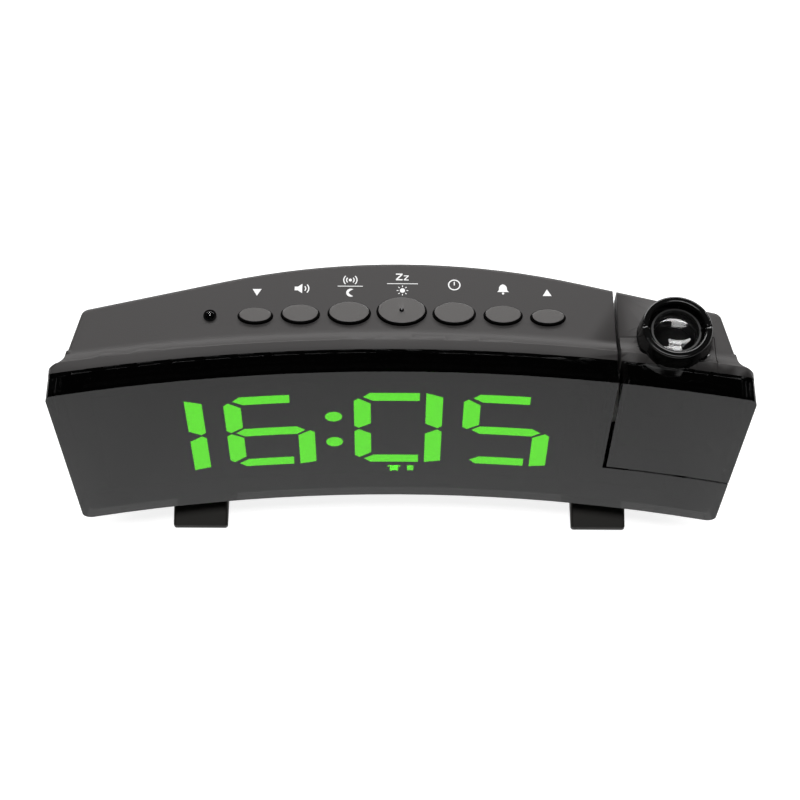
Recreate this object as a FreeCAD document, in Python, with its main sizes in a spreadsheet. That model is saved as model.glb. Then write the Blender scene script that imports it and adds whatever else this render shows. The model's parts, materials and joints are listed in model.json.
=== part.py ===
import FreeCAD, Part
import math
import os
import re
import Sketcher

# Projection alarm clock. X runs to the right, Y to the back and Z up, in millimetres.
# The origin is on the table, in the middle of the object's outline seen from above.

# Driving dimensions
SIZES = {
    # casing
    "width": 191.2,
    "face_y": -17.5,
    "base_z": 10.0,
    "top_z": 73.3,
    "lean": 7.0,
    "face_radius": 532.0,
    "cover_depth": 7.0,
    "wall": 2.2,
    "end_draft": 1.4,
    "cover_corner": 3.0,
    "top_corner": 2.0,
    "lip_rise": 1.0,
    "lip_run": 2.3,
    "cove_run": 4.4,
    "deck_z": 72.8,
    "floor_z": 11.2,
    "shoulder": 4.3,
    "end_taper": 13.0,
    "rear_y": 25.2,
    "rear_radius": 205.0,
    "rear_turn": 14.0,
    "rear_corner": 2.5,
    "edge_round": 1.2,
    # split between the clock and its swinging projector
    "projector_wide": 37.0,
    "split_gap": 1.1,
    "ledge_z": 31.1,
    "ledge_gap": 0.8,
    "pivot_y": -2.2,
    "pivot_z": 50.0,
    "hub_radius": 7.0,
    "hub_bore": 4.5,
    "hub_flange": 10.0,
    "hub_flange_thick": 1.6,
    "washer_radius": 9.4,
    "ring_thick": 1.0,
    "run_fit": 0.05,
    "free_gap": 0.3,
    "lead_radius": 1.8,
    # projector optics
    "barrel_inset": 21.0,
    "barrel_y": 1.6,
    "barrel_top": 79.0,
    "barrel_radius": 9.6,
    "barrel_flare": 0.7,
    "barrel_bore": 7.65,
    "barrel_round": 0.6,
    "tube_radius": 7.9,
    "tube_bore": 6.85,
    "optics_z": 43.4,
    "optics_board": 1.2,
    "lens_radius": 6.3,
    "lens_thick": 3.2,
    "lens_bulge": 22.0,
    "cell_low": 61.6,
    "lens_recess": 2.2,
    "focus_travel": 1.0,
    "wheel_radius": 12.4,
    "wheel_low": 60.6,
    "wheel_high": 65.0,
    "wheel_teeth": 60,
    "insert_inset": 10.1,
    "insert_z": 66.0,
    "seam": 0.16,
    # buttons, the widest in the middle and three smaller ones on each side
    "button_gap": 0.3,
    "button_proud": 1.0,
    "button_round": 0.45,
    "button_travel": 0.5,
    "button_rim": 0.7,
    "button_rim_thick": 1.4,
    "stem_radius": 1.6,
    "first_x": 0.0,
    "first_y": 9.3,
    "first_wide": 14.0,
    "first_deep": 9.2,
    "second_x": 14.45,
    "second_y": 8.65,
    "second_wide": 12.05,
    "second_deep": 7.5,
    "third_x": 27.9,
    "third_y": 8.2,
    "third_wide": 10.9,
    "third_deep": 6.45,
    "fourth_x": 40.25,
    "fourth_y": 7.6,
    "fourth_wide": 9.9,
    "fourth_deep": 5.5,
    "dot_radius": 0.69,
    "button_board_z": 61.6,
    "button_board_front": 2.6,
    "button_board_back": 15.0,
    "button_board_left": -54.6,
    "button_board_end": 5.8,
    "board_thick": 1.6,
    "switch_side": 4.5,
    "switch_tall": 3.4,
    "deck_boss_inset": 10.2,
    "deck_boss_y": 8.0,
    "boss_radius": 2.2,
    "sensor_x": -52.7,
    "sensor_y": 7.6,
    "sensor_radius": 1.25,
    "sensor_ring": 1.8,
    # display
    "digit_gap": 5.85,
    "digit_tall": 35.3,
    "digit_v": 16.2,
    "upright_stroke": 4.7,
    "level_stroke": 3.8,
    "stroke_gap": 0.7,
    "side_gap": 1.8,
    "display_inset": 4.3,
    "display_end": 4.05,
    "colon_space": 5.5,
    "colon_step": 5.8,
    "colon_v": 33.65,
    "colon_pitch": 12.9,
    "colon_radius": 2.4,
    "mark_step": 11.4,
    "mark_v": 12.75,
    "mark_tall": 3.0,
    "mark_pitch": 4.8,
    "insert_thick": 1.5,
    "film_gap": 0.3,
    "block_side": 4.6,
    "block_end": 12.1,
    "block_low": 10.9,
    "block_high": 57.5,
    "block_back": 9.5,
    "led_wide": 1.6,
    "led_tall": 0.8,
    # feet
    "foot_inset": 35.3,
    "foot_wide": 16.4,
    "toe_y": -24.6,
    "toe_tall": 1.7,
    "toe_slope": 20.0,
    "heel_y": 14.0,
    "foot_round": 0.9,
    "pad_drop": 0.4,
    "pad_radius": 4.5,
    "pad_sink": 1.0,
    # backup cell and its turning door
    "door_y": 3.0,
    "door_radius": 12.0,
    "door_thick": 1.7,
    "door_hub": 11.2,
    "tab_reach": 13.6,
    "tab_wide": 6.0,
    "cell_radius": 10.0,
    "cell_tall": 2.5,
    "cell_lift": 1.2,
    "contact_thick": 0.6,
    "holder_wall": 1.4,
    "holder_roof": 1.0,
    "slot_wide": 1.8,
    "slot_deep": 0.9,
    # loudspeaker behind its slots
    "speaker_gap": 3.1,
    "speaker_z": 42.0,
    "speaker_radius": 17.5,
    "speaker_flange": 1.2,
    "cap_radius": 3.2,
    "basket_deep": 5.5,
    "magnet_radius": 9.5,
    "magnet_deep": 3.6,
    "grille_pitch": 3.2,
    "grille_slot": 1.5,
    "grille_radius": 15.0,
    "grille_slots": 9,
    # circuit board, inlet and fixings
    "board_z": 22.0,
    "board_inset": 32.6,
    "board_end": 14.6,
    "board_front": -4.0,
    "board_back": 11.5,
    "jack_x": -30.0,
    "jack_wide": 9.0,
    "jack_tall": 11.0,
    "jack_deep": 14.0,
    "jack_nose": 4.0,
    "jack_bore": 2.85,
    "jack_pin": 1.0,
    "jack_bore_deep": 9.0,
    "aerial_inset": 5.1,
    "aerial_z": 30.0,
    "aerial_radius": 2.4,
    "well_radius": 3.4,
    "well_bore": 2.7,
    "well_floor_y": -2.0,
    "well_floor": 1.8,
    "well_z": 16.2,
    "well_inset": 13.6,
    "middle_well_inset": 7.6,
    "screw_radius": 1.3,
    "screw_head": 2.4,
    "screw_head_tall": 1.6,
    "screw_long": 8.0,
    "small_screw_long": 5.0,
    "can_radius": 2.5,
    "can_tall": 9.0,
    "can_pitch": 7.6,
    "cans_x": -46.0,
    "big_can_x": 30.0,
    "big_can_radius": 3.2,
    "big_can_tall": 11.0,
    "clock_chip_x": -2.0,
    "clock_chip_y": 2.5,
    "clock_chip_wide": 12.0,
    "clock_chip_deep": 10.0,
    "clock_chip_tall": 1.6,
    "radio_chip_x": 17.0,
    "radio_chip_y": 3.0,
    "radio_chip_side": 6.0,
    "radio_chip_tall": 1.4,
    "crystal_x": 22.5,
    "crystal_y": 2.0,
    "crystal_radius": 1.1,
    "crystal_long": 6.0,
    "vent_x": 20.0,
    "vent_pitch": 3.4,
    "vent_wide": 1.6,
    "vent_front": -4.0,
    "vent_back": 10.0,
    "reach": 400.0,
}

# Places worked out from the driving dimensions
PLACES = {
    "slope": "tan(lean)",
    "half": "width / 2",
    "split_x": "half - projector_wide",
    "barrel_x": "half - barrel_inset",
    "insert_x": "half - insert_inset",
    "cell_high": "barrel_top - lens_recess",
    "deck_boss_x": "split_x - deck_boss_inset",
    "foot_x": "half - foot_inset",
    "aerial_x": "split_x - aerial_inset",
    "left_well_x": "-(half - well_inset)",
    "middle_well_x": "split_x - middle_well_inset",
    "right_well_x": "half - well_inset",
    "board_left": "-(half - board_inset)",
    "board_right": "split_x - board_end",
    "fan_y": "face_y - face_radius",
    "face_top_y": "face_y + (top_z - base_z) * slope",
    "seam_y": "face_y + cover_depth",
    "seam_top_y": "face_top_y + cover_depth",
    "crest_z": "top_z + lip_rise",
    "crest_y": "seam_top_y + lip_run",
    "cove_y": "crest_y + cove_run",
    "keel_z": "base_z - lip_rise * 0.6",
    "keel_y": "seam_y + lip_run",
    "under_y": "keel_y + cove_run",
    "drop": "crest_z - deck_z",
    "cove_radius": "(drop ^ 2 + cove_run ^ 2) / (2 * drop)",
    "lift": "floor_z - keel_z",
    "under_radius": "(lift ^ 2 + cove_run ^ 2) / (2 * lift)",
    "waist": "half - shoulder",
    "speaker_x": "-(waist - wall - speaker_radius - speaker_gap)",
    "block_left": "-(waist - wall - block_side)",
    "block_right": "split_x - block_end",
    "strokes_wide": "block_right - block_left - display_inset - display_end",
    "digit_pitch": "(strokes_wide + digit_gap - colon_space) / 4",
    "digit_wide": "digit_pitch - digit_gap",
    "hours_u": "block_left + display_inset",
    "minutes_u": "hours_u + 2 * digit_pitch + colon_space",
    "colon_u": "minutes_u - colon_step",
    "mark_u": "minutes_u + mark_step",
    "flare_radius": "(shoulder ^ 2 + cove_run ^ 2) / (2 * shoulder)",
    "end_drop": "half ^ 2 / (2 * face_radius)",
    "end_crest_y": "face_y + cover_depth + lip_run - end_drop",
    "end_cove_y": "end_crest_y + cove_run",
    "taper": "tan(end_taper)",
    "rear_slope": "tan(rear_turn)",
    "bend_x": "rear_radius * sin(rear_turn)",
    "bend_y": "rear_y - rear_radius * (1 - cos(rear_turn))",
    "inner_radius": "rear_radius - wall",
    "inner_bend_x": "inner_radius * sin(rear_turn)",
    "inner_bend_y": "rear_y - wall - inner_radius * (1 - cos(rear_turn))",
    "module_x": "split_x + split_gap",
    "module_z": "ledge_z + ledge_gap",
    "belly": "pivot_z - module_z",
    "cap_z": "deck_z + button_proud",
    "rim_top": "deck_z - wall - free_gap",
    "rim_low": "rim_top - button_rim_thick",
    "plunger_top": "button_board_z + switch_tall",
    "stem_low": "plunger_top + button_travel + 0.1",
    "lens_top": "cell_high - 0.4",
    "holder_inner": "tab_reach + 0.4",
    "cell_z": "floor_z + wall + cell_lift",
    "door_top": "cell_z - free_gap",
    "roof_z": "cell_z + cell_tall + contact_thick",
    "jack_y": "rear_y - wall - jack_x ^ 2 / (2 * rear_radius) - 1.1",
    "jack_z": "board_z + board_thick + jack_tall / 2",
    "body_z": "pad_drop",
}

doc = FreeCAD.newDocument("projection_alarm_clock")
sizes = doc.addObject("Spreadsheet::Sheet", "Sizes")
for row, (alias, value) in enumerate(SIZES.items(), start=1):
    sizes.set(f"A{row}", alias)
    sizes.set(f"B{row}", str(value))
    sizes.setAlias(f"B{row}", alias)
places = doc.addObject("Spreadsheet::Sheet", "Places")
gauge = doc.addObject("Spreadsheet::Sheet", "Gauge")


def formula(text):
    """Puts the sheet's name before each alias in a formula."""

    def full(word):
        name = word.group(0)
        if name in SIZES:
            return "Sizes." + name
        if name in PLACES:
            return "Places." + name
        return name

    return re.sub(r"[a-z][a-z_]*", full, str(text))


for row, (alias, text) in enumerate(PLACES.items(), start=2):
    places.set(f"A{row}", alias)
    places.set(f"B{row}", "=" + formula(text))
    places.setAlias(f"B{row}", alias)
doc.recompute()


def number(text):
    """The value of a formula, worked out in a cell of its own."""
    gauge.set("B1", "=" + formula(text))
    gauge.recompute()
    return float(gauge.get("B1"))


def bind(thing, prop, text):
    thing.setExpression(prop, formula(text))


def put(thing, x=None, y=None, z=None):
    """Binds a piece's place to the sheet."""
    for axis, text in (("x", x), ("y", y), ("z", z)):
        if text is not None:
            bind(thing, f"Placement.Base.{axis}", text)
    return thing


# Sketches

TURNS = {
    "XY": FreeCAD.Rotation(),
    "XZ": FreeCAD.Rotation(FreeCAD.Vector(1, 0, 0), 90),
    "YZ": FreeCAD.Rotation(FreeCAD.Vector(1, 1, 1), 120),
}


def fix(sketch, kind, geometry, point, text):
    """Adds a dimension that follows the sheet."""
    value = number(text)
    if point is None:
        index = sketch.addConstraint(Sketcher.Constraint(kind, geometry, value))
    else:
        index = sketch.addConstraint(Sketcher.Constraint(kind, geometry, point, value))
    bind(sketch, f"Constraints[{index}]", text)


def add_circle(sketch, x, y, radius):
    centre = FreeCAD.Vector(number(x), number(y), 0)
    circle = Part.Circle(centre, FreeCAD.Vector(0, 0, 1), number(radius))
    index = sketch.addGeometry(circle, False)
    fix(sketch, "DistanceX", index, 3, x)
    fix(sketch, "DistanceY", index, 3, y)
    fix(sketch, "Radius", index, None, radius)


def arc_between(start, stop, radius, side):
    """A short arc, its centre on the left or right of the way from start to stop."""
    chord = stop - start
    middle = (start + stop) * 0.5
    left = FreeCAD.Vector(-chord.y, chord.x, 0).normalize()
    height = math.sqrt(max(radius**2 - chord.Length**2 / 4, 0.0))
    centre = middle + left * (height if side == "left" else -height)
    first, last = (start, stop) if side == "left" else (stop, start)
    low = math.atan2(first.y - centre.y, first.x - centre.x)
    high = math.atan2(last.y - centre.y, last.x - centre.x)
    if high < low:
        high += 2 * math.pi
    circle = Part.Circle(centre, FreeCAD.Vector(0, 0, 1), radius)
    return Part.ArcOfCircle(circle, low, high)


def add_outline(sketch, steps):
    """A closed outline. A step is a corner (x, y), or (x, y, radius, side) where an arc starts."""
    first = sketch.GeometryCount
    corners = [FreeCAD.Vector(number(step[0]), number(step[1]), 0) for step in steps]
    ends = []
    for index, step in enumerate(steps):
        start = corners[index]
        stop = corners[(index + 1) % len(steps)]
        if len(step) == 2:
            sketch.addGeometry(Part.LineSegment(start, stop), False)
            ends.append((1, 2))
        else:
            sketch.addGeometry(arc_between(start, stop, number(step[2]), step[3]), False)
            ends.append((1, 2) if step[3] == "left" else (2, 1))
    for index, step in enumerate(steps):
        after = (index + 1) % len(steps)
        joint = ("Coincident", first + index, ends[index][1], first + after, ends[after][0])
        sketch.addConstraint(Sketcher.Constraint(*joint))
        fix(sketch, "DistanceX", first + index, ends[index][0], step[0])
        fix(sketch, "DistanceY", first + index, ends[index][0], step[1])
        if len(step) == 4:
            fix(sketch, "Radius", first + index, None, step[2])


def draw(sketch, shapes):
    for shape in shapes:
        if shape[0] == "circle":
            add_circle(sketch, *shape[1:])
        else:
            add_outline(sketch, shape)
    return sketch


def flat_sketch(name, plane, shapes, x=None, y=None, z=None):
    sketch = doc.addObject("Sketcher::SketchObject", name)
    sketch.Placement = FreeCAD.Placement(FreeCAD.Vector(0, 0, 0), TURNS[plane])
    draw(sketch, shapes)
    return put(sketch, x, y, z)


# Solids made by Part features


def prism(name, sketch, ahead, behind="0", direction=None):
    """A sketch pushed out along its normal, or along a given direction."""
    solid = doc.addObject("Part::Extrusion", name)
    solid.Base = sketch
    solid.Solid = True
    solid.FaceMakerClass = "Part::FaceMakerBullseye"
    if direction is None:
        solid.DirMode = "Normal"
    else:
        solid.DirMode = "Custom"
        for axis, text in zip("xyz", direction):
            bind(solid, f"Dir.{axis}", text)
    bind(solid, "LengthFwd", ahead)
    bind(solid, "LengthRev", behind)
    return solid


def fan(name, steps, sweep=30):
    """A side section swept along the face's arc, about the upright axis in front of the clock."""
    section = flat_sketch(name + "_section", "YZ", [steps])
    solid = doc.addObject("Part::Revolution", name)
    solid.Source = section
    solid.Axis = FreeCAD.Vector(0, 0, 1)
    bind(solid, "Base.y", "fan_y")
    solid.Angle = sweep
    solid.Symmetric = True
    solid.Solid = True
    return solid


def box(name, x, y, z):
    """A block between pairs of formulas."""
    solid = doc.addObject("Part::Box", name)
    for prop, (low, high) in (("Length", x), ("Width", y), ("Height", z)):
        bind(solid, prop, f"({high}) - ({low})")
    return put(solid, x[0], y[0], z[0])


def rod(name, axis, x, y, z, radius, length):
    """A cylinder along X, Y or Z, from its low end."""
    solid = doc.addObject("Part::Cylinder", name)
    turn = {
        "X": FreeCAD.Rotation(FreeCAD.Vector(0, 1, 0), 90),
        "Y": FreeCAD.Rotation(FreeCAD.Vector(1, 0, 0), -90),
        "Z": FreeCAD.Rotation(),
    }[axis]
    solid.Placement = FreeCAD.Placement(FreeCAD.Vector(0, 0, 0), turn)
    bind(solid, "Radius", radius)
    bind(solid, "Height", length)
    return put(solid, x, y, z)


def oval(name, x, y, wide, deep, low, high):
    """An upright oval block."""
    edge = doc.addObject("Part::Ellipse", name + "_edge")
    bind(edge, "MajorRadius", f"({wide}) / 2")
    bind(edge, "MinorRadius", f"({deep}) / 2")
    put(edge, x, y, low)
    solid = doc.addObject("Part::Extrusion", name)
    solid.Base = edge
    solid.Solid = True
    solid.DirMode = "Custom"
    solid.Dir = FreeCAD.Vector(0, 0, 1)
    bind(solid, "LengthFwd", f"({high}) - ({low})")
    return solid


def joined(name, *pieces):
    solid = doc.addObject("Part::MultiFuse", name)
    solid.Shapes = list(pieces)
    return solid


def shared(name, *pieces):
    solid = doc.addObject("Part::MultiCommon", name)
    solid.Shapes = list(pieces)
    return solid


def cut(name, base, *tools):
    solid = doc.addObject("Part::Cut", name)
    solid.Base = base
    solid.Tool = tools[0] if len(tools) == 1 else joined(name + "_tools", *tools)
    return solid


def rounded(name, base, radius, wanted):
    """Rounds the edges that the test picks."""
    doc.recompute()
    size = number(radius)
    solid = doc.addObject("Part::Fillet", name)
    solid.Base = base
    edges = enumerate(base.Shape.Edges, start=1)
    solid.Edges = [(index, size, size) for index, edge in edges if wanted(edge)]
    return solid


# Solids made in bodies


def new_body(name, x=None, y=None, z=None):
    body = doc.addObject("PartDesign::Body", name)
    return put(body, x, y, z)


def body_sketch(body, name, role, shapes, height=None):
    sketch = body.newObject("Sketcher::SketchObject", name)
    plane = next(item for item in body.Origin.OriginFeatures if item.Role == role)
    sketch.AttachmentSupport = [(plane, "")]
    sketch.MapMode = "FlatFace"
    if height is not None:
        bind(sketch, "AttachmentOffset.Base.z", height)
    return draw(sketch, shapes)


def pad(body, name, sketch, length, midplane=False):
    feature = body.newObject("PartDesign::Pad", name)
    feature.Profile = sketch
    feature.Midplane = midplane
    bind(feature, "Length", length)
    return feature


def turned(name, steps, x=None, y=None, z=None, axis="V_Axis"):
    """A piece of turned form: its half section spun about an upright or level axis."""
    body = new_body(name, x, y, z)
    sketch = body_sketch(body, name + "_section", "XZ_Plane", [steps])
    spin = body.newObject("PartDesign::Revolution", name + "_turn")
    spin.Profile = sketch
    spin.ReferenceAxis = (sketch, [axis])
    spin.Angle = 360
    return body


def ring_steps(inner, outer, low, high):
    return [(inner, low), (outer, low), (outer, high), (inner, high)]


def level_steps(inner, outer, low, high):
    return [(low, inner), (high, inner), (high, outer), (low, outer)]


nodes = {}


def node(name, piece):
    """Files a finished piece under its own name."""
    piece.Label = name
    nodes[name] = piece
    return piece


# Casing blanks: solid outer forms and the hollows inside them


def front_outline(name, low, high, inset, low_corner, high_corner):
    """The casing seen from the front, a little narrower at the foot, with round corners."""
    wide = f"(half - {inset})"
    foot = f"(half - end_draft - {inset})"
    near = f"(half - end_draft - {inset} + 0.05)"
    steps = [
        (f"-{foot} + {low_corner}", low),
        (f"{foot} - {low_corner}", low, low_corner, "left"),
        (near, f"{low} + {low_corner}"),
        (wide, f"{high} - {high_corner}", high_corner, "left"),
        (f"{wide} - {high_corner}", high),
        (f"-{wide} + {high_corner}", high, high_corner, "left"),
        (f"-{wide}", f"{high} - {high_corner}"),
        (f"-{near}", f"{low} + {low_corner}", low_corner, "left"),
    ]
    sketch = flat_sketch(name + "_sketch", "XZ", [steps])
    return prism(name, sketch, "reach / 4", "reach / 4")


def end_outline(name, inset):
    """The casing's two ends seen from above: a flange that sweeps in to a tapering waist."""
    edge = f"(half - {inset})"
    neck = f"(waist - {inset})"
    back = "end_cove_y + reach / 8"
    tail = f"(waist - {inset} - taper * reach / 8)"
    right = [
        (edge, "-reach / 8"),
        (edge, "end_crest_y", "flare_radius", "right"),
        (neck, "end_cove_y"),
        (tail, back),
    ]
    left = [
        (f"-{tail}", back),
        (f"-{neck}", "end_cove_y", "flare_radius", "right"),
        (f"-{edge}", "end_crest_y"),
        (f"-{edge}", "-reach / 8"),
    ]
    sketch = flat_sketch(name + "_sketch", "XY", [right + left], z="base_z")
    return prism(name, sketch, "reach / 4", "reach / 4", ("0", "slope", "1"))


def rear_outline(name, inset, bend_x, bend_y, radius):
    """The casing's back seen from above: a wide arc that runs out into two straight flanks."""
    side = "half + 10"
    steps = [
        (f"-({side})", "-reach / 8"),
        (side, "-reach / 8"),
        (side, f"{bend_y} - rear_slope * ({side} - {bend_x})"),
        (bend_x, bend_y, radius, "left"),
        (f"-{bend_x}", bend_y),
        (f"-({side})", f"{bend_y} - rear_slope * ({side} - {bend_x})"),
    ]
    sketch = flat_sketch(name + "_sketch", "XY", [steps])
    return prism(name, sketch, "reach / 2")


cover_sweep = fan(
    "cover_sweep",
    [("face_y", "base_z"), ("seam_y", "base_z"), ("seam_top_y", "top_z"), ("face_top_y", "top_z")],
)
cover_rim = front_outline("cover_rim", "base_z", "top_z", "0", "cover_corner", "top_corner")
cover_blank = shared("cover_blank", cover_sweep, cover_rim)

cover_hollow_sweep = fan(
    "cover_hollow_sweep",
    [
        ("face_y + wall", "base_z"),
        ("face_y + wall + reach / 8", "base_z"),
        ("face_top_y + wall + reach / 8", "top_z"),
        ("face_top_y + wall", "top_z"),
    ],
)
cover_hollow_rim = front_outline(
    "cover_hollow_rim", "(base_z + wall)", "(top_z - wall)", "wall", "(cover_corner / 2)",
    "(top_corner / 2)",
)
cover_hollow = shared("cover_hollow", cover_hollow_sweep, cover_hollow_rim)

shell_rim = front_outline(
    "shell_rim", "keel_z", "crest_z", "0", "(cover_corner + lip_rise)", "(top_corner + lip_rise)"
)
shell_ends = end_outline("shell_ends", "0")
shell_back = rear_outline("shell_back", "0", "bend_x", "bend_y", "rear_radius")
flange_sweep = fan(
    "flange_sweep",
    [
        ("seam_y", "base_z"),
        ("keel_y", "keel_z", "under_radius", "right"),
        ("under_y", "floor_z"),
        ("cove_y", "deck_z", "cove_radius", "right"),
        ("crest_y", "crest_z"),
        ("seam_top_y", "top_z"),
    ],
)
flange_band = shared("flange_band", flange_sweep, shell_ends)
flange = shared("flange", flange_band, shell_rim)
case_sweep = fan(
    "case_sweep",
    [
        ("under_y", "floor_z"),
        ("reach / 8", "floor_z"),
        ("reach / 8", "deck_z"),
        ("cove_y", "deck_z"),
    ],
)
case_raw = shared("case_raw", case_sweep, shell_ends, shell_back)


def at_back_corner(edge):
    """An upright edge where the back meets an end."""
    span = edge.BoundBox
    tall = span.ZLength > number("deck_z") / 2
    return tall and span.YMin > 0 and max(span.XMax, -span.XMin) > number("waist") * 0.7


def along_back_rim(edge):
    """An edge of the deck or the underside, along the back or an end."""
    span = edge.BoundBox
    at_deck = abs(span.ZMax - number("deck_z")) < 0.02
    at_floor = abs(span.ZMin - number("floor_z")) < 0.02
    behind = span.YMax > number("cove_y") + 2
    return span.ZLength < 0.05 and (at_deck or at_floor) and behind


case_corners = rounded("case_corners", case_raw, "rear_corner", at_back_corner)
case_soft = rounded("case_soft", case_corners, "edge_round", along_back_rim)
shell_blank = joined("shell_blank", flange, case_soft)

shell_hollow_sweep = fan(
    "shell_hollow_sweep",
    [
        ("face_y", "floor_z + wall"),
        ("reach / 8", "floor_z + wall"),
        ("reach / 8", "deck_z - wall"),
        ("face_top_y", "deck_z - wall"),
    ],
)
shell_hollow_ends = end_outline("shell_hollow_ends", "wall")
shell_hollow_back = rear_outline(
    "shell_hollow_back", "wall", "inner_bend_x", "inner_bend_y", "inner_radius"
)
shell_hollow = shared("shell_hollow", shell_hollow_sweep, shell_hollow_ends, shell_hollow_back)

far = ("-reach", "reach")
module_space = box("module_space", ("split_x", "reach"), far, ("ledge_z", "reach"))
module_space_wide = box(
    "module_space_wide", ("split_x - wall", "reach"), far, ("ledge_z - wall", "reach")
)


def module_form(name, inset):
    """The projector's outline from the side: square in front, rounded about the pivot behind."""
    left = f"module_x + {inset}"
    low = f"module_z + {inset}"
    upper = box(name + "_upper", (left, "reach"), far, ("pivot_z", "reach"))
    front = box(name + "_front", (left, "reach"), ("-reach", "pivot_y"), (low, "pivot_z + 1"))
    belly = rod(name + "_belly", "X", left, "pivot_y", "pivot_z", f"belly - {inset}", "reach")
    return joined(name, upper, front, belly)


module_blank = module_form("module_blank", "0")
module_hollow = module_form("module_hollow", "wall")

# Front covers: one smoked tray over the clock, another over the projector

main_cover_block = cut("main_cover_block", cover_blank, module_space)
main_cover_hollow = cut("main_cover_hollow", cover_hollow, module_space_wide)


def cover_boss(side, x):
    post = rod(side + "_post", "Y", x, "face_y - 6", "well_z", "well_radius - 0.7", "reach / 8")
    kept = box(
        side + "_post_room", ("-reach", "reach"), ("-reach", "well_floor_y"), ("0", "reach")
    )
    sweep_back = shared(side + "_post_end", post, kept, cover_behind)
    hole = rod(
        side + "_post_hole", "Y", x, "well_floor_y - screw_long", "well_z", "screw_radius",
        "screw_long + 1",
    )
    return sweep_back, hole


cover_behind = fan(
    "cover_behind",
    [
        ("face_y + wall / 2", "base_z"),
        ("reach / 8", "base_z"),
        ("reach / 8", "top_z"),
        ("face_top_y + wall / 2", "top_z"),
    ],
)
WELLS = {"left": "left_well_x", "middle": "middle_well_x", "right": "right_well_x"}
posts = {side: cover_boss(side, x) for side, x in WELLS.items()}
main_cover_tray = cut("main_cover_tray", main_cover_block, main_cover_hollow)
main_cover_full = joined("main_cover_full", main_cover_tray, *[post for post, hole in posts.values()])
hub_hole = rod(
    "hub_hole", "X", "split_x - wall - 1", "pivot_y", "pivot_z", "hub_radius + run_fit", "wall + 2"
)
hub_seat = rod(
    "hub_seat", "X", "module_x - 1", "pivot_y", "pivot_z", "hub_radius", "wall + 2"
)
post_holes = [hole for post, hole in posts.values()]
front_cover = cut("front_cover", main_cover_full, hub_hole, *post_holes)
node("front_cover", front_cover)

module_cover_block = shared("module_cover_block", cover_blank, module_blank)
module_cover_hollow = shared("module_cover_hollow", cover_hollow, module_hollow)
node(
    "projector_cover",
    cut("projector_cover", module_cover_block, module_cover_hollow, hub_seat),
)

# Rear housing: deck, back, ends, underside and the ledge below the projector

housing_block = cut("housing_block", shell_blank, module_space)
housing_hollow = cut("housing_hollow", shell_hollow, module_space_wide)
housing_tub = cut("housing_tub", housing_block, housing_hollow)


def screw_well(side, x):
    """A tube from the back wall to the cover's post, with a floor for the screw head."""
    tube = rod(side + "_well_tube", "Y", x, "well_floor_y", "well_z", "well_radius", "reach / 8")
    inside = shared(side + "_well", tube, shell_back)
    bore = rod(
        side + "_well_bore", "Y", x, "well_floor_y + well_floor", "well_z", "well_bore", "reach / 8"
    )
    hole = rod(
        side + "_well_hole", "Y", x, "well_floor_y - 1", "well_z", "screw_radius + 0.2", "reach / 8"
    )
    return inside, bore, hole


wells = [screw_well(side, x) for side, x in WELLS.items()]

BUTTONS = {
    "snooze_button": ("first_x", "first_y", "first_wide", "first_deep"),
    "radio_button": ("-second_x", "second_y", "second_wide", "second_deep"),
    "volume_button": ("-third_x", "third_y", "third_wide", "third_deep"),
    "down_button": ("-fourth_x", "fourth_y", "fourth_wide", "fourth_deep"),
    "set_button": ("second_x", "second_y", "second_wide", "second_deep"),
    "alarm_button": ("third_x", "third_y", "third_wide", "third_deep"),
    "up_button": ("fourth_x", "fourth_y", "fourth_wide", "fourth_deep"),
}
button_holes = [
    oval(name + "_hole", x, y, wide, deep, "deck_z - wall - 1", "deck_z + 1")
    for name, (x, y, wide, deep) in BUTTONS.items()
]
sensor_hole = rod(
    "sensor_hole", "Z", "sensor_x", "sensor_y", "deck_z - wall - 1", "sensor_ring", "wall + 2"
)
deck_bosses = [
    rod(
        f"deck_boss_{side}", "Z", f"{sign}deck_boss_x", "deck_boss_y", "button_board_z",
        "boss_radius", "deck_z - wall / 2 - button_board_z",
    )
    for side, sign in (("left", "-"), ("right", ""))
]
BOARD_CORNERS = [
    ("board_left + 3", "board_front + 3"),
    ("board_left + 3", "board_back - 3"),
    ("board_right - 3", "board_front + 3"),
    ("board_right - 3", "board_back - 3"),
]
floor_bosses = [
    rod(
        f"floor_boss_{index}", "Z", x, y, "floor_z + wall / 2", "boss_radius",
        "board_z - floor_z - wall / 2",
    )
    for index, (x, y) in enumerate(BOARD_CORNERS)
]
jack_hole = rod("jack_hole", "Y", "jack_x", "jack_y - 2", "jack_z", "jack_nose + free_gap", "9")
door_hole = rod(
    "door_hole", "Z", "0", "door_y", "floor_z - 1", "door_radius + free_gap", "wall + 2"
)
door_notch = box(
    "door_notch",
    ("-tab_wide / 2 - 0.4", "tab_wide / 2 + 0.4"),
    ("door_y - tab_reach - 0.3", "door_y + tab_reach + 0.3"),
    ("floor_z - 1", "floor_z + wall + 1"),
)
vents = [
    box(
        f"vent_{index}",
        (f"vent_x + {index} * vent_pitch", f"vent_x + {index} * vent_pitch + vent_wide"),
        ("vent_front", "vent_back"),
        ("floor_z - 1", "floor_z + wall + 1"),
    )
    for index in range(5)
]

deck_boss_holes = [
    rod(
        f"deck_boss_hole_{side}", "Z", f"{sign}deck_boss_x", "deck_boss_y",
        "button_board_z - 1", "screw_radius", "small_screw_long",
    )
    for side, sign in (("left", "-"), ("right", ""))
]
floor_boss_holes = [
    rod(
        f"floor_boss_hole_{index}", "Z", x, y, "board_z + board_thick - small_screw_long - 0.2",
        "screw_radius", "small_screw_long",
    )
    for index, (x, y) in enumerate(BOARD_CORNERS)
]

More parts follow.
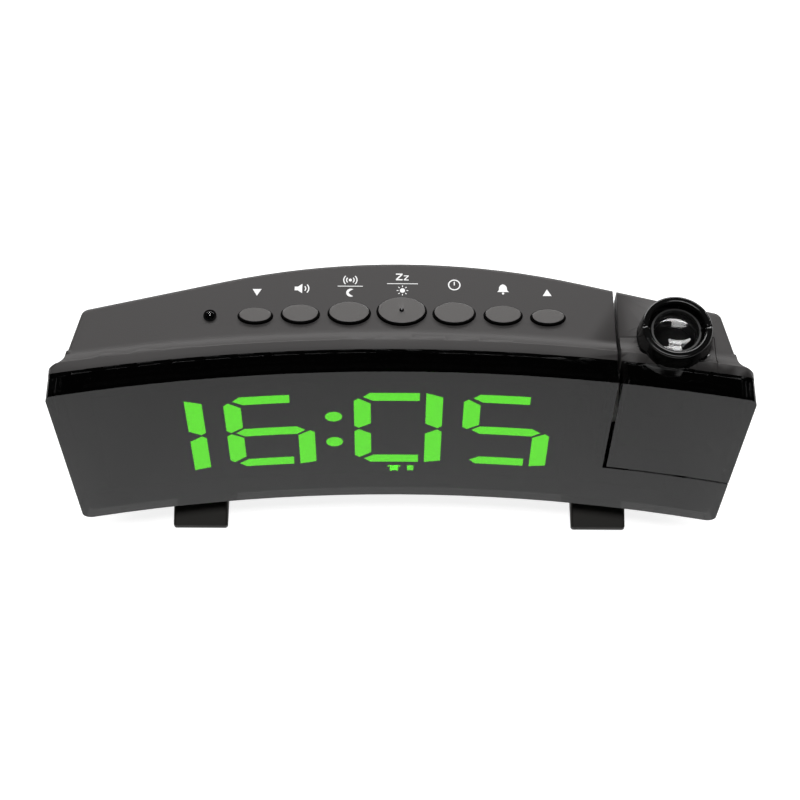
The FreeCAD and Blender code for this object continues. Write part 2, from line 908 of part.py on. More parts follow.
flank = FreeCAD.Rotation(FreeCAD.Vector(0, 0, 1), number("rear_turn"))
speaker_back_y = number("bend_y - rear_slope * (-speaker_x - bend_x)")
speaker_spot = FreeCAD.Vector(number("speaker_x"), speaker_back_y, number("speaker_z"))
flank_out = flank.multVec(FreeCAD.Vector(0, 1, 0))


def flank_place(depth, turn=FreeCAD.Rotation()):
    """A place inside the left flank, a depth in from its outer face at the loudspeaker."""
    return FreeCAD.Placement(speaker_spot - flank_out * depth, flank.multiply(turn))


def grille_slot(index):
    step = index - (SIZES["grille_slots"] - 1) / 2
    across = step * number("grille_pitch")
    tall = math.sqrt(max(number("grille_radius") ** 2 - across**2, 1.0))
    slot = doc.addObject("Part::Box", f"grille_slot_{index}")
    bind(slot, "Length", "grille_slot")
    bind(slot, "Width", "wall * 3")
    slot.Height = 2 * tall
    corner = FreeCAD.Vector(across - number("grille_slot") / 2, -number("wall") * 2, -tall)
    slot.Placement = FreeCAD.Placement(speaker_spot + flank.multVec(corner), flank)
    return slot


grille = [grille_slot(index) for index in range(int(SIZES["grille_slots"]))]
aerial_turn = FreeCAD.Rotation(FreeCAD.Vector(0, 0, 1), -number("rear_turn"))
aerial_out = aerial_turn.multVec(FreeCAD.Vector(0, 1, 0))
aerial_spot = FreeCAD.Vector(
    number("aerial_x"),
    number("bend_y - rear_slope * (aerial_x - bend_x)"),
    number("aerial_z"),
)
along_y = FreeCAD.Rotation(FreeCAD.Vector(1, 0, 0), -90)


def aerial_rod(name, depth, radius, length):
    """A round piece square to the right flank, from a depth inside its outer face."""
    solid = doc.addObject("Part::Cylinder", name)
    bind(solid, "Radius", radius)
    bind(solid, "Height", length)
    start = aerial_spot - aerial_out * number(depth)
    solid.Placement = FreeCAD.Placement(start, aerial_turn.multiply(along_y))
    return solid


aerial_hole = aerial_rod("aerial_hole", "wall + 2", "aerial_radius", "wall + 4")
cell_wall = turned(
    "cell_wall",
    ring_steps("holder_inner", "holder_inner + holder_wall", "floor_z + wall / 2", "roof_z"),
    y="door_y",
)

housing_full = joined(
    "housing_full",
    housing_tub,
    *[well[0] for well in wells],
    *deck_bosses,
    *floor_bosses,
    cell_wall,
)
rear_housing = cut(
    "rear_housing",
    housing_full,
    *[well[1] for well in wells],
    *[well[2] for well in wells],
    *deck_boss_holes,
    *floor_boss_holes,
    *button_holes,
    sensor_hole,
    hub_hole,
    jack_hole,
    door_hole,
    door_notch,
    aerial_hole,
    *vents,
    *grille,
)
node("rear_housing", rear_housing)

# Projector housing and the panel over its front half

barrel = turned(
    "barrel",
    [
        ("barrel_bore", "deck_z - wall"),
        ("barrel_radius + barrel_flare", "deck_z - wall"),
        ("barrel_radius + barrel_flare", "deck_z"),
        ("barrel_radius", "barrel_top - barrel_round", "barrel_round", "left"),
        ("barrel_radius - barrel_round", "barrel_top"),
        ("barrel_bore + barrel_round", "barrel_top", "barrel_round", "left"),
        ("barrel_bore", "barrel_top - barrel_round"),
    ],
    x="barrel_x",
    y="barrel_y",
)
module_block = shared("module_block", shell_blank, module_blank)
module_room = shared("module_room", shell_hollow, module_hollow)
module_tub = cut("module_tub", module_block, module_room)
barrel_room = rod(
    "barrel_room", "Z", "barrel_x", "barrel_y", "deck_z - wall - 1", "barrel_bore",
    "barrel_top - deck_z + wall + 2",
)
wheel_room = rod(
    "wheel_room", "Z", "barrel_x", "barrel_y", "wheel_low - 1.6", "wheel_radius + free_gap",
    "wheel_high - wheel_low + 2.8",
)
module_full = joined("module_full", module_tub, barrel)
module_shell = cut("module_shell", module_full, barrel_room, wheel_room, hub_seat, cover_blank)


def insert_space(name, grow):
    """The block of the projector's top that comes away with its front panel."""
    return box(
        name,
        ("module_x - 1", f"insert_x + {grow}"),
        ("-reach", f"barrel_y + {grow}"),
        (f"insert_z - {grow}", "reach"),
    )


node("projector_panel", shared("projector_panel", module_shell, insert_space("insert_in", "0")))
node("projector_housing", cut("projector_housing", module_shell, insert_space("insert_out", "seam")))

# Buttons, each with a rim under the deck and a stem down to its switch


def button(name, x, y, wide, deep):
    trim = "2 * button_gap"
    cap = oval(name + "_cap", x, y, f"{wide} - {trim}", f"{deep} - {trim}", "rim_low", "cap_z")
    soft = rounded(
        name + "_soft", cap, "button_round", lambda edge: edge.BoundBox.ZMin > number("deck_z")
    )
    rim = oval(
        name + "_rim", x, y, f"{wide} + 2 * button_rim", f"{deep} + 2 * button_rim", "rim_low",
        "rim_top",
    )
    stem = rod(name + "_stem", "Z", x, y, "stem_low", "stem_radius", "rim_low - stem_low + 0.5")
    pieces = [soft, rim, stem]
    if name == "snooze_button":
        dot = doc.addObject("Part::Sphere", name + "_dot")
        bind(dot, "Radius", "dot_radius")
        pieces.append(put(dot, x, y, "cap_z - dot_radius / 3"))
    return joined(name, *pieces)


for name, spot in BUTTONS.items():
    node(name, button(name, *spot))

board_plate = box(
    "board_plate",
    ("button_board_left", "split_x - wall - button_board_end"),
    ("button_board_front", "button_board_back"),
    ("button_board_z - board_thick", "button_board_z"),
)
board_holes = [
    rod(
        f"board_hole_{side}", "Z", f"{sign}deck_boss_x", "deck_boss_y", "button_board_z - 4",
        "screw_radius", "8",
    )
    for side, sign in (("left", "-"), ("right", ""))
]
node("button_board", cut("button_board", board_plate, *board_holes))
switches = []
for name, (x, y, wide, deep) in BUTTONS.items():
    case = box(
        name + "_switch",
        (f"{x} - switch_side / 2", f"{x} + switch_side / 2"),
        (f"{y} - switch_side / 2", f"{y} + switch_side / 2"),
        ("button_board_z", "button_board_z + switch_tall - 1"),
    )
    plunger = rod(name + "_plunger", "Z", x, y, "button_board_z + 1", "1.1", "switch_tall - 1")
    switches.append(joined(name + "_tact", case, plunger))
node("tact_switches", joined("tact_switches", *switches))

sensor_pipe = rod(
    "sensor_pipe", "Z", "sensor_x", "sensor_y", "button_board_z", "sensor_radius",
    "deck_z - button_board_z",
)
sensor_dome = doc.addObject("Part::Sphere", "sensor_dome")
bind(sensor_dome, "Radius", "sensor_radius")
put(sensor_dome, "sensor_x", "sensor_y", "deck_z")
node("sensor_lens", joined("sensor_lens", sensor_pipe, sensor_dome))
node(
    "sensor_bezel",
    turned(
        "sensor_bezel",
        ring_steps("sensor_radius", "sensor_ring", "deck_z - wall", "deck_z + 0.4"),
        x="sensor_x",
        y="sensor_y",
    ),
)

# Display: glowing inserts in a white block, and its circuit board behind


MID = "digit_tall / 2"
INNER = "(level_stroke / 2 + stroke_gap)"
SEGMENTS = {
    "top": [
        ("level_stroke / 2 + stroke_gap", "digit_tall - level_stroke / 2"),
        ("upright_stroke + stroke_gap", "digit_tall - level_stroke"),
        ("digit_wide - upright_stroke - side_gap", "digit_tall - level_stroke"),
        ("digit_wide - upright_stroke - side_gap", "digit_tall"),
        ("level_stroke + stroke_gap", "digit_tall"),
    ],
    "upper_left": [
        ("0", "digit_tall - level_stroke"),
        ("0", f"{MID} + 2 * stroke_gap"),
        ("level_stroke / 3", f"{MID} + stroke_gap / 2"),
        ("upright_stroke", f"{MID} + {INNER}"),
        ("upright_stroke", "digit_tall - level_stroke - 2 * stroke_gap"),
        ("level_stroke / 3", "digit_tall - level_stroke / 2 - stroke_gap"),
    ],
    "upper_right": [
        ("digit_wide - upright_stroke", "digit_tall"),
        ("digit_wide - upright_stroke", f"{MID} + {INNER}"),
        ("digit_wide - level_stroke / 3", f"{MID} + stroke_gap / 2"),
        ("digit_wide", f"{MID} + 2 * stroke_gap"),
        ("digit_wide", "digit_tall - level_stroke / 2"),
    ],
    "middle": [
        ("level_stroke / 2 + stroke_gap", MID),
        ("upright_stroke + stroke_gap / 2", f"{MID} - level_stroke / 2"),
        ("digit_wide - upright_stroke - stroke_gap / 2", f"{MID} - level_stroke / 2"),
        ("digit_wide - level_stroke / 2 - stroke_gap", MID),
        ("digit_wide - upright_stroke - stroke_gap / 2", f"{MID} + level_stroke / 2"),
        ("upright_stroke + stroke_gap / 2", f"{MID} + level_stroke / 2"),
    ],
    "lower_left": [
        ("0", f"{MID} - 2 * stroke_gap"),
        ("0", "level_stroke"),
        ("level_stroke / 3", "level_stroke / 2 + stroke_gap"),
        ("upright_stroke", "level_stroke + 2 * stroke_gap"),
        ("upright_stroke", f"{MID} - {INNER}"),
        ("level_stroke / 3", f"{MID} - stroke_gap / 2"),
    ],
    "lower_right": [
        ("digit_wide - upright_stroke", f"{MID} - {INNER}"),
        ("digit_wide - upright_stroke", "0"),
        ("digit_wide", "level_stroke / 4"),
        ("digit_wide", f"{MID} - 2 * stroke_gap"),
        ("digit_wide - level_stroke / 3", f"{MID} - stroke_gap / 2"),
    ],
    "bottom": [
        ("level_stroke / 2 + stroke_gap", "level_stroke / 2"),
        ("level_stroke + stroke_gap", "0"),
        ("digit_wide - upright_stroke - side_gap", "0"),
        ("digit_wide - upright_stroke - side_gap", "level_stroke"),
        ("upright_stroke + stroke_gap", "level_stroke"),
    ],
}
DIGITS = {
    "hour_tens": "hours_u",
    "hour_units": "hours_u + digit_pitch",
    "minute_tens": "minutes_u",
    "minute_units": "minutes_u + digit_pitch",
}


def on_face(piece, u="0", v="0"):
    """Lays a sketch or block on the leaning face, at u across and v up it."""
    turn = FreeCAD.Rotation(FreeCAD.Vector(1, 0, 0), 90 - number("lean"))
    piece.Placement = FreeCAD.Placement(FreeCAD.Vector(0, 0, 0), turn)
    bind(piece, "Placement.Rotation.Angle", "90 - lean")
    return put(piece, u, f"face_y + ({v}) * sin(lean)", f"base_z + ({v}) * cos(lean)")


def face_prism(name, shapes, u, v):
    """Shapes on the face, pushed right through the display."""
    sketch = doc.addObject("Sketcher::SketchObject", name + "_sketch")
    draw(sketch, shapes)
    on_face(sketch, u, v)
    return prism(name, sketch, "20", "block_back + 10")


def face_sweep(name, front, back):
    """A layer behind the face, between two depths from it."""
    return fan(
        name,
        [
            (f"face_y + {front}", "base_z"),
            (f"face_y + {back}", "base_z"),
            (f"face_top_y + {back}", "top_z"),
            (f"face_top_y + {front}", "top_z"),
        ],
    )


def face_box(name, left, right, low, high, front, back):
    """A block square to the leaning face, from a depth behind the middle of the face."""
    solid = doc.addObject("Part::Box", name)
    bind(solid, "Length", f"({right}) - ({left})")
    bind(solid, "Width", f"({high}) - ({low})")
    bind(solid, "Height", f"({back}) - ({front})")
    turn = FreeCAD.Rotation(FreeCAD.Vector(1, 0, 0), 90 - number("lean"))
    solid.Placement = FreeCAD.Placement(FreeCAD.Vector(0, 0, 0), turn)
    bind(solid, "Placement.Rotation.Angle", "90 - lean")
    y = f"face_y + ({low}) * sin(lean) + ({back}) * cos(lean)"
    z = f"base_z + ({low}) * cos(lean) - ({back}) * sin(lean)"
    return put(solid, left, y, z)


insert_layer = face_sweep("insert_layer", "wall + film_gap", "wall + film_gap + insert_thick")
window_prisms = []
for name, u in DIGITS.items():
    shapes = list(SEGMENTS.values())
    window = face_prism(name + "_windows", shapes, u, "digit_v")
    window_prisms.append(window)
    node(name + "_digit", shared(name + "_digit", window, insert_layer))
half_pitch = "colon_pitch / 2"
colon_shapes = [
    ("circle", "0", f"-{half_pitch}", "colon_radius"),
    ("circle", "0", half_pitch, "colon_radius"),
]
colon_windows = face_prism("colon_windows", colon_shapes, "colon_u", "colon_v")
window_prisms.append(colon_windows)
node("colon_dots", shared("colon_dots", colon_windows, insert_layer))


def mark_box(left, wide):
    """A small rectangle for one status mark."""
    high = "mark_tall / 2"
    right = f"{left} + {wide}"
    return [(left, f"-{high}"), (right, f"-{high}"), (right, high), (left, high)]


mark_shapes = [mark_box("-mark_tall * 0.9", "mark_tall * 1.8"), mark_box("mark_pitch - 1", "2")]
mark_windows = face_prism("mark_windows", mark_shapes, "mark_u", "mark_v")
window_prisms.append(mark_windows)
node("status_marks", shared("status_marks", mark_windows, insert_layer))

block_layer = face_sweep("block_layer", "wall + film_gap", "reach / 8")
block_space = face_box(
    "block_space", "block_left", "block_right", "block_low", "block_high", "-20", "block_back"
)
block_form = shared("block_form", block_layer, block_space)
node("display_block", cut("display_block", block_form, *window_prisms))
node(
    "display_board",
    face_box(
        "display_board", "block_left - 1", "block_right + 1", "block_low", "block_high + 1",
        "block_back", "block_back + board_thick",
    ),
)
LED_SPOTS = {
    "top": ("digit_wide / 2", "digit_tall - level_stroke / 2"),
    "upper_left": ("upright_stroke / 2", "digit_tall * 0.73"),
    "upper_right": ("digit_wide - upright_stroke / 2", "digit_tall * 0.73"),
    "middle": ("digit_wide / 2", "digit_tall / 2"),
    "lower_left": ("upright_stroke / 2", "digit_tall * 0.27"),
    "lower_right": ("digit_wide - upright_stroke / 2", "digit_tall * 0.27"),
    "bottom": ("digit_wide / 2", "level_stroke / 2"),
}


def led_chip(name, u, v):
    return face_box(
        name, f"{u} - led_wide / 2", f"{u} + led_wide / 2", f"{v} - led_tall / 2",
        f"{v} + led_tall / 2", "block_back - led_tall", "block_back",
    )


chips = [
    led_chip(f"{digit}_{place}_led", f"({u} + {across})", f"(digit_v + {up})")
    for digit, u in DIGITS.items()
    for place, (across, up) in LED_SPOTS.items()
]
chips.append(led_chip("colon_low_led", "colon_u", f"(colon_v - {half_pitch})"))
chips.append(led_chip("colon_high_led", "colon_u", f"(colon_v + {half_pitch})"))
chips.append(led_chip("mark_led", "mark_u", "mark_v"))
node("display_leds", joined("display_leds", *chips))

# Main circuit board and what is on it

main_plate = box(
    "main_plate",
    ("board_left", "board_right"),
    ("board_front", "board_back"),
    ("board_z", "board_z + board_thick"),
)
main_holes = [
    rod(f"main_hole_{index}", "Z", x, y, "board_z - 1", "screw_radius", "board_thick + 2")
    for index, (x, y) in enumerate(BOARD_CORNERS)
]
node("main_board", cut("main_board", main_plate, *main_holes))
top = "board_z + board_thick"


def chip(name, x, y, wide, deep, tall):
    return box(
        name,
        (f"{x} - {wide} / 2", f"{x} + {wide} / 2"),
        (f"{y} - {deep} / 2", f"{y} + {deep} / 2"),
        (top, f"{top} + {tall}"),
    )


clock_chip = chip(
    "clock_chip", "clock_chip_x", "clock_chip_y", "clock_chip_wide", "clock_chip_deep",
    "clock_chip_tall",
)
radio_chip = chip(
    "radio_chip", "radio_chip_x", "radio_chip_y", "radio_chip_side", "radio_chip_side",
    "radio_chip_tall",
)
crystal = rod(
    "crystal", "X", "crystal_x", "crystal_y", f"{top} + crystal_radius", "crystal_radius",
    "crystal_long",
)
node("board_chips", joined("board_chips", clock_chip, radio_chip, crystal))
cans = [
    rod(
        f"can_{index}", "Z", f"cans_x + {index} * can_pitch", "board_back - can_radius - 1", top,
        "can_radius", "can_tall",
    )
    for index in range(2)
]
cans.append(
    rod(
        "big_can", "Z", "big_can_x", "board_back - big_can_radius - 2", top, "big_can_radius",
        "big_can_tall",
    )
)
node("capacitors", joined("capacitors", *cans))

# Power inlet and aerial bush in the back

jack_block = box(
    "jack_block",
    ("jack_x - jack_wide / 2", "jack_x + jack_wide / 2"),
    ("jack_y - jack_deep", "jack_y"),
    ("jack_z - jack_tall / 2", "jack_z + jack_tall / 2"),
)
jack_nose = rod("jack_nose_rod", "Y", "jack_x", "jack_y - 1", "jack_z", "jack_nose", "3.6")
jack_bore = rod(
    "jack_bore_rod", "Y", "jack_x", "jack_y + 2.6 - jack_bore_deep", "jack_z", "jack_bore",
    "jack_bore_deep + 1",
)
jack_pin = rod(
    "jack_pin_rod", "Y", "jack_x", "jack_y + 2 - jack_bore_deep", "jack_z", "jack_pin",
    "jack_bore_deep - 1",
)
jack_case = cut("jack_case", joined("jack_form", jack_block, jack_nose), jack_bore)
node("power_inlet", joined("power_inlet", jack_case, jack_pin))
aerial_body = aerial_rod("aerial_body", "wall", "aerial_radius", "wall + 0.4")
aerial_flange = aerial_rod("aerial_flange", "-0.02", "aerial_radius + 1", "0.8")
aerial_inner = aerial_rod("aerial_inner", "wall + 1", "aerial_radius + 0.7", "1")
aerial_bore = aerial_rod("aerial_bore", "wall + 2", "0.9", "wall + 4")
aerial_form = joined("aerial_form", aerial_body, aerial_flange, aerial_inner)
node("aerial_bush", cut("aerial_bush", aerial_form, aerial_bore))

# Loudspeaker against the left flank

inward = FreeCAD.Rotation(FreeCAD.Vector(1, 0, 0), 90)


def speaker_rod(name, depth, radius, length):
    solid = doc.addObject("Part::Cylinder", name)
    bind(solid, "Radius", radius)
    bind(solid, "Height", length)
    solid.Placement = flank_place(number(depth), inward)
    return solid


def speaker_cone(name, depth, wide, narrow, length):
    solid = doc.addObject("Part::Cone", name)
    bind(solid, "Radius1", wide)
    bind(solid, "Radius2", narrow)
    bind(solid, "Height", length)
    solid.Placement = flank_place(number(depth), inward)
    return solid


flange_rod = speaker_rod("speaker_rim_rod", "wall", "speaker_radius", "speaker_flange")
basket = speaker_cone(
    "speaker_basket", "wall + speaker_flange", "speaker_radius - 1", "magnet_radius", "basket_deep"
)
basket_room = speaker_cone(
    "speaker_room", "wall - 0.01", "speaker_radius - 1.8", "magnet_radius - 1.6",
    "speaker_flange + basket_deep - 0.8",
)
node("speaker_frame", cut("speaker_frame", joined("speaker_form", flange_rod, basket), basket_room))
diaphragm = turned(
    "diaphragm",
    [
        ("0", "wall + basket_deep - 2.6"),
        ("cap_radius", "wall + basket_deep - 1.6"),
        ("speaker_radius - 3.6", "wall + 0.6"),
        ("speaker_radius - 3", "wall + 0.6"),
        ("cap_radius + 0.4", "wall + basket_deep - 1"),
        ("0", "wall + basket_deep - 1"),
    ],
)
diaphragm.Placement = flank_place(0.0, inward)
node("speaker_cone", diaphragm)
node(
    "speaker_magnet",
    speaker_rod(
        "speaker_magnet", "wall + speaker_flange + basket_deep", "magnet_radius", "magnet_deep"
    ),
)

# Backup cell, its holder and the turning door

node(
    "cell_holder",
    turned(
        "cell_holder",
        [
            ("0", "roof_z"),
            ("cell_radius + 0.4", "roof_z"),
            ("cell_radius + 0.4", "cell_z"),
            ("holder_inner", "cell_z"),
            ("holder_inner", "roof_z"),
            ("holder_inner + holder_wall", "roof_z"),
            ("holder_inner + holder_wall", "roof_z + holder_roof"),
            ("0", "roof_z + holder_roof"),
        ],
        y="door_y",
    ),
)
node(
    "coin_cell",
    turned(
        "coin_cell",
        [
            ("0", "cell_z"),
            ("cell_radius - 1.2", "cell_z"),
            ("cell_radius - 0.9", "cell_z + 0.3"),
            ("cell_radius", "cell_z + 0.6"),
            ("cell_radius", "cell_z + cell_tall"),
            ("0", "cell_z + cell_tall"),
        ],
        y="door_y",
    ),
)
contact_strip = box(
    "contact_strip",
    ("-3", "3"),
    ("door_y - 7", "door_y + 7"),
    ("cell_z + cell_tall", "roof_z"),
)
node("cell_contact", contact_strip)

door_body = new_body("battery_door", y="door_y")
door_disc = body_sketch(
    door_body, "door_disc", "XY_Plane", [("circle", "0", "0", "door_radius")], "floor_z"
)
pad(door_body, "door_disc_pad", door_disc, "door_thick")
door_hub = body_sketch(
    door_body, "door_hub_sketch", "XY_Plane", [("circle", "0", "0", "door_hub")], "floor_z"
)
pad(door_body, "door_hub_pad", door_hub, "door_top - floor_z")
tab_half = "tab_wide / 2"
tab_steps = [
    ("-tab_reach", f"-{tab_half}"),
    ("tab_reach", f"-{tab_half}"),
    ("tab_reach", tab_half),
    ("-tab_reach", tab_half),
]
door_tabs = body_sketch(
    door_body, "door_tab_sketch", "XY_Plane", [tab_steps], "floor_z + wall + free_gap"
)
pad(door_body, "door_tab_pad", door_tabs, "door_top - floor_z - wall - free_gap")
doc.recompute()
coin_steps = [
    ("-door_radius * 0.6", "-slot_wide / 2"),
    ("door_radius * 0.6", "-slot_wide / 2"),
    ("door_radius * 0.6", "slot_wide / 2"),
    ("-door_radius * 0.6", "slot_wide / 2"),
]
coin_slot = body_sketch(door_body, "coin_slot_sketch", "XY_Plane", [coin_steps], "floor_z")
slot_cut = door_body.newObject("PartDesign::Pocket", "coin_slot")
slot_cut.Profile = coin_slot
slot_cut.Reversed = True
bind(slot_cut, "Length", "slot_deep")
node("battery_door", door_body)

# Feet with a low toe that shows in front, and rubber pads let into them


def foot(side, x):
    steps = [
        ("toe_y", "body_z"),
        ("heel_y", "body_z"),
        ("heel_y", "floor_z"),
        ("toe_y + (floor_z - body_z - toe_tall) / tan(toe_slope)", "floor_z"),
        ("toe_y", "body_z + toe_tall"),
    ]
    body = new_body(side + "_foot", x=x)
    profile = body_sketch(body, side + "_foot_side", "YZ_Plane", [steps])
    block = pad(body, side + "_foot_pad", profile, "foot_wide", midplane=True)
    doc.recompute()
    edges = []
    for index, edge in enumerate(block.Shape.Edges, start=1):
        span = edge.BoundBox
        upright = span.XLength < 0.01 and span.ZMax > number("body_z") + 0.1
        if upright and span.ZMin > number("body_z") - 0.01 and span.YMax < number("heel_y") - 1:
            edges.append(f"Edge{index}")
    soft = body.newObject("PartDesign::Fillet", side + "_foot_soft")
    soft.Base = (block, edges)
    bind(soft, "Radius", "foot_round")
    wells = [
        ("circle", "0", "toe_y + pad_radius + 2.5", "pad_radius"),
        ("circle", "0", "heel_y - pad_radius - 2", "pad_radius"),
    ]
    doc.recompute()
    sink = body_sketch(body, side + "_pad_wells", "XY_Plane", wells, "body_z")
    hollow = body.newObject("PartDesign::Pocket", side + "_pad_pocket")
    hollow.Profile = sink
    hollow.Reversed = True
    bind(hollow, "Length", "pad_sink")
    return node(side + "_foot", body)


foot("left", "-foot_x")
foot("right", "foot_x")
pads = [
    rod(f"pad_{side}_{end}", "Z", x, y, "0", "pad_radius - run_fit", "pad_drop + pad_sink")
    for side, x in (("left", "-foot_x"), ("right", "foot_x"))
    for end, y in (("toe", "toe_y + pad_radius + 2.5"), ("heel", "heel_y - pad_radius - 2"))
]
node("foot_pads", joined("foot_pads", *pads))

# Pivot of the projector: a hollow hub, a washer in the gap, a spring washer and its ring

node(
    "pivot_hub",
    turned(
        "pivot_hub",
        [
            ("split_x - wall - 3", "hub_bore"),
            ("module_x + wall + hub_flange_thick", "hub_bore"),
            ("module_x + wall + hub_flange_thick", "hub_flange"),
            ("module_x + wall", "hub_flange"),
            ("module_x + wall", "hub_radius"),
            ("split_x - wall - 0.8", "hub_radius"),
            ("split_x - wall - 0.8", "hub_radius - 0.8"),
            ("split_x - wall - 0.8 - ring_thick", "hub_radius - 0.8"),
            ("split_x - wall - 0.8 - ring_thick", "hub_radius"),
            ("split_x - wall - 3", "hub_radius"),
        ],
        y="pivot_y",
        z="pivot_z",
        axis="H_Axis",
    ),
)
node(
    "friction_washer",
    turned(
        "friction_washer",
        level_steps("hub_radius", "washer_radius", "split_x + run_fit", "module_x"),
        y="pivot_y",
        z="pivot_z",
        axis="H_Axis",
    ),
)
node(
    "spring_washer",
    turned(
        "spring_washer",
        level_steps(
            "hub_radius", "washer_radius", "split_x - wall - 0.8", "split_x - wall - run_fit"
        ),
        y="pivot_y",
        z="pivot_z",
        axis="H_Axis",
    ),
)
node(
    "retaining_ring",
    turned(
        "retaining_ring",
        level_steps(
            "hub_radius - 0.8",
            "washer_radius",
            "split_x - wall - 0.8 - ring_thick",
            "split_x - wall - 0.8",
        ),
        y="pivot_y",
        z="pivot_z",
        axis="H_Axis",
    ),
)
node(
    "lead_grommet",
    turned(
        "lead_grommet",
        level_steps("lead_radius + run_fit", "hub_bore", "split_x - wall - 3", "split_x"),
        y="pivot_y",
        z="pivot_z",
        axis="H_Axis",
    ),
)
lead_rod = rod("lead_rod", "X", "block_right + 4", "pivot_y", "pivot_z", "lead_radius", "14.5")
lead_plug = box(
    "lead_plug",
    ("block_right + 1", "block_right + 4.5"),
    ("pivot_y - 3", "pivot_y + 3"),
    ("pivot_z - 3", "pivot_z + 3"),
)
node("projector_lead", joined("projector_lead", lead_rod, lead_plug))

# Projector optics on one upright axis, from the lamp board up to the moving lens cell

optics_at = {"x": "barrel_x", "y": "barrel_y"}
tube_body = turned(
    "tube_form",
    [
        ("tube_bore", "optics_z"),
        ("tube_radius", "optics_z"),
        ("tube_radius", "wheel_low - 1.3"),
        ("tube_radius + 1", "wheel_low - 1.3"),
        ("tube_radius + 1", "wheel_low - run_fit"),
        ("tube_radius", "wheel_low - run_fit"),
        ("tube_radius", "deck_z - wall"),
        ("tube_bore", "deck_z - wall"),
    ],
    **optics_at,
)
pin_slots = box(
    "pin_slots",
    ("barrel_x - tube_radius - 2", "barrel_x + tube_radius + 2"),
    ("barrel_y - 0.9", "barrel_y + 0.9"),
    ("cell_low + 1.2 - focus_travel - 0.9", "cell_low + 1.2 + focus_travel + 0.9"),
)
slot_room = box(
    "slot_room",
    ("barrel_x - tube_radius - 2", "barrel_x + tube_radius + 2"),
    ("barrel_y - tube_radius - 2", "barrel_y + tube_radius + 2"),
    ("wheel_low", "wheel_high"),
)
node("optics_tube", cut("optics_tube", tube_body, shared("pin_way", pin_slots, slot_room)))
node(
    "wheel_clip",
    turned(
        "wheel_clip",
        ring_steps("tube_radius", "tube_radius + 1.2", "wheel_high + run_fit", "wheel_high + 0.9"),
        **optics_at,
    ),
)

wheel_body = new_body("focus_wheel", "barrel_x", "barrel_y")
wheel_face = [
    ("circle", "0", "0", "wheel_radius"),
    ("circle", "0", "0", "tube_radius + run_fit"),
]
wheel_sketch = body_sketch(wheel_body, "wheel_sketch", "XY_Plane", wheel_face, "wheel_low")
pad(wheel_body, "wheel_pad", wheel_sketch, "wheel_high - wheel_low")
doc.recompute()
notch_sketch = body_sketch(
    wheel_body, "notch_sketch", "XY_Plane", [("circle", "wheel_radius + 0.15", "0", "0.45")],
    "wheel_low - 1",
)
notch = wheel_body.newObject("PartDesign::Pocket", "wheel_notch")
notch.Profile = notch_sketch
notch.Reversed = True
bind(notch, "Length", "wheel_high - wheel_low + 2")
doc.recompute()
notches = wheel_body.newObject("PartDesign::PolarPattern", "wheel_notches")
notches.Originals = [notch]
notches.Axis = (notch_sketch, ["N_Axis"])
notches.Angle = 360
notches.Occurrences = int(SIZES["wheel_teeth"])
wheel_body.Tip = notches
node("focus_wheel", wheel_body)

cell_form = turned(
    "cell_form",
    [
        ("lens_radius - 1.2", "cell_low"),
        ("tube_bore - run_fit", "cell_low"),
        ("tube_bore - run_fit", "cell_high"),
        ("lens_radius", "cell_high"),
        ("lens_radius", "lens_top - lens_thick"),
        ("lens_radius - 1.2", "lens_top - lens_thick - 0.6"),
        ("lens_radius - 1.2", "cell_low + 4"),
    ],
    **optics_at,
)
cell_pin = rod(
    "cell_pin", "X", "barrel_x - tube_bore - 1", "barrel_y", "cell_low + 1.2", "0.7",
    "2 * tube_bore + 2",
)
cell_light = rod(
    "cell_light", "Z", "barrel_x", "barrel_y", "cell_low - 1", "lens_radius - 1.2",
    "cell_high - cell_low",
)
cell_way = cut("cell_way", cell_pin, cell_light)
node("lens_cell", joined("lens_cell", cell_form, cell_way))


def lens(name, radius, low, thick, bulge):
    """A lens with two bulging faces and a short cylindrical edge."""
    rise = f"({bulge} - sqrt({bulge} ^ 2 - ({radius}) ^ 2))"
    high = f"{low} + {thick}"
    steps = [
        ("0", low, bulge, "left"),
        (radius, f"{low} + {rise}"),
        (radius, f"{high} - {rise}", bulge, "left"),
        ("0", high),
    ]
    return node(name, turned(name, steps, **optics_at))


lens("objective_lens", "lens_radius", "lens_top - lens_thick", "lens_thick", "lens_bulge")
lens("field_lens", "(lens_radius - 1.2)", "cell_low + 4", "2.6", "16")
lens("condenser_lens", "(tube_bore)", "optics_z + 7.5", "3.6", "18")
slide_holder_ring = turned(
    "slide_holder_ring", ring_steps("0", "tube_bore", "optics_z + 12.4", "optics_z + 14.6"),
    **optics_at,
)
slide_window = box(
    "slide_window",
    ("barrel_x - 4.4", "barrel_x + 4.4"),
    ("barrel_y - 3", "barrel_y + 3"),
    ("optics_z + 11", "optics_z + 16"),
)
node("slide_holder", cut("slide_holder", slide_holder_ring, slide_window))
node(
    "lcd_slide",
    box(
        "lcd_slide",
        ("barrel_x - 4.4", "barrel_x + 4.4"),
        ("barrel_y - 3", "barrel_y + 3"),
        ("optics_z + 12.9", "optics_z + 14.1"),
    ),
)
lamp_plate = rod(
    "lamp_plate", "Z", "barrel_x", "barrel_y", "optics_z - optics_board", "tube_radius",
    "optics_board",
)
node("lamp_board", lamp_plate)
lamp_stem = rod("lamp_stem", "Z", "barrel_x", "barrel_y", "optics_z", "2.4", "2.6")
lamp_dome = doc.addObject("Part::Sphere", "lamp_dome")
lamp_dome.Radius = 2.4
put(lamp_dome, "barrel_x", "barrel_y", "optics_z + 2.6")
node("projector_lamp", joined("projector_lamp", lamp_stem, lamp_dome))

# Screws


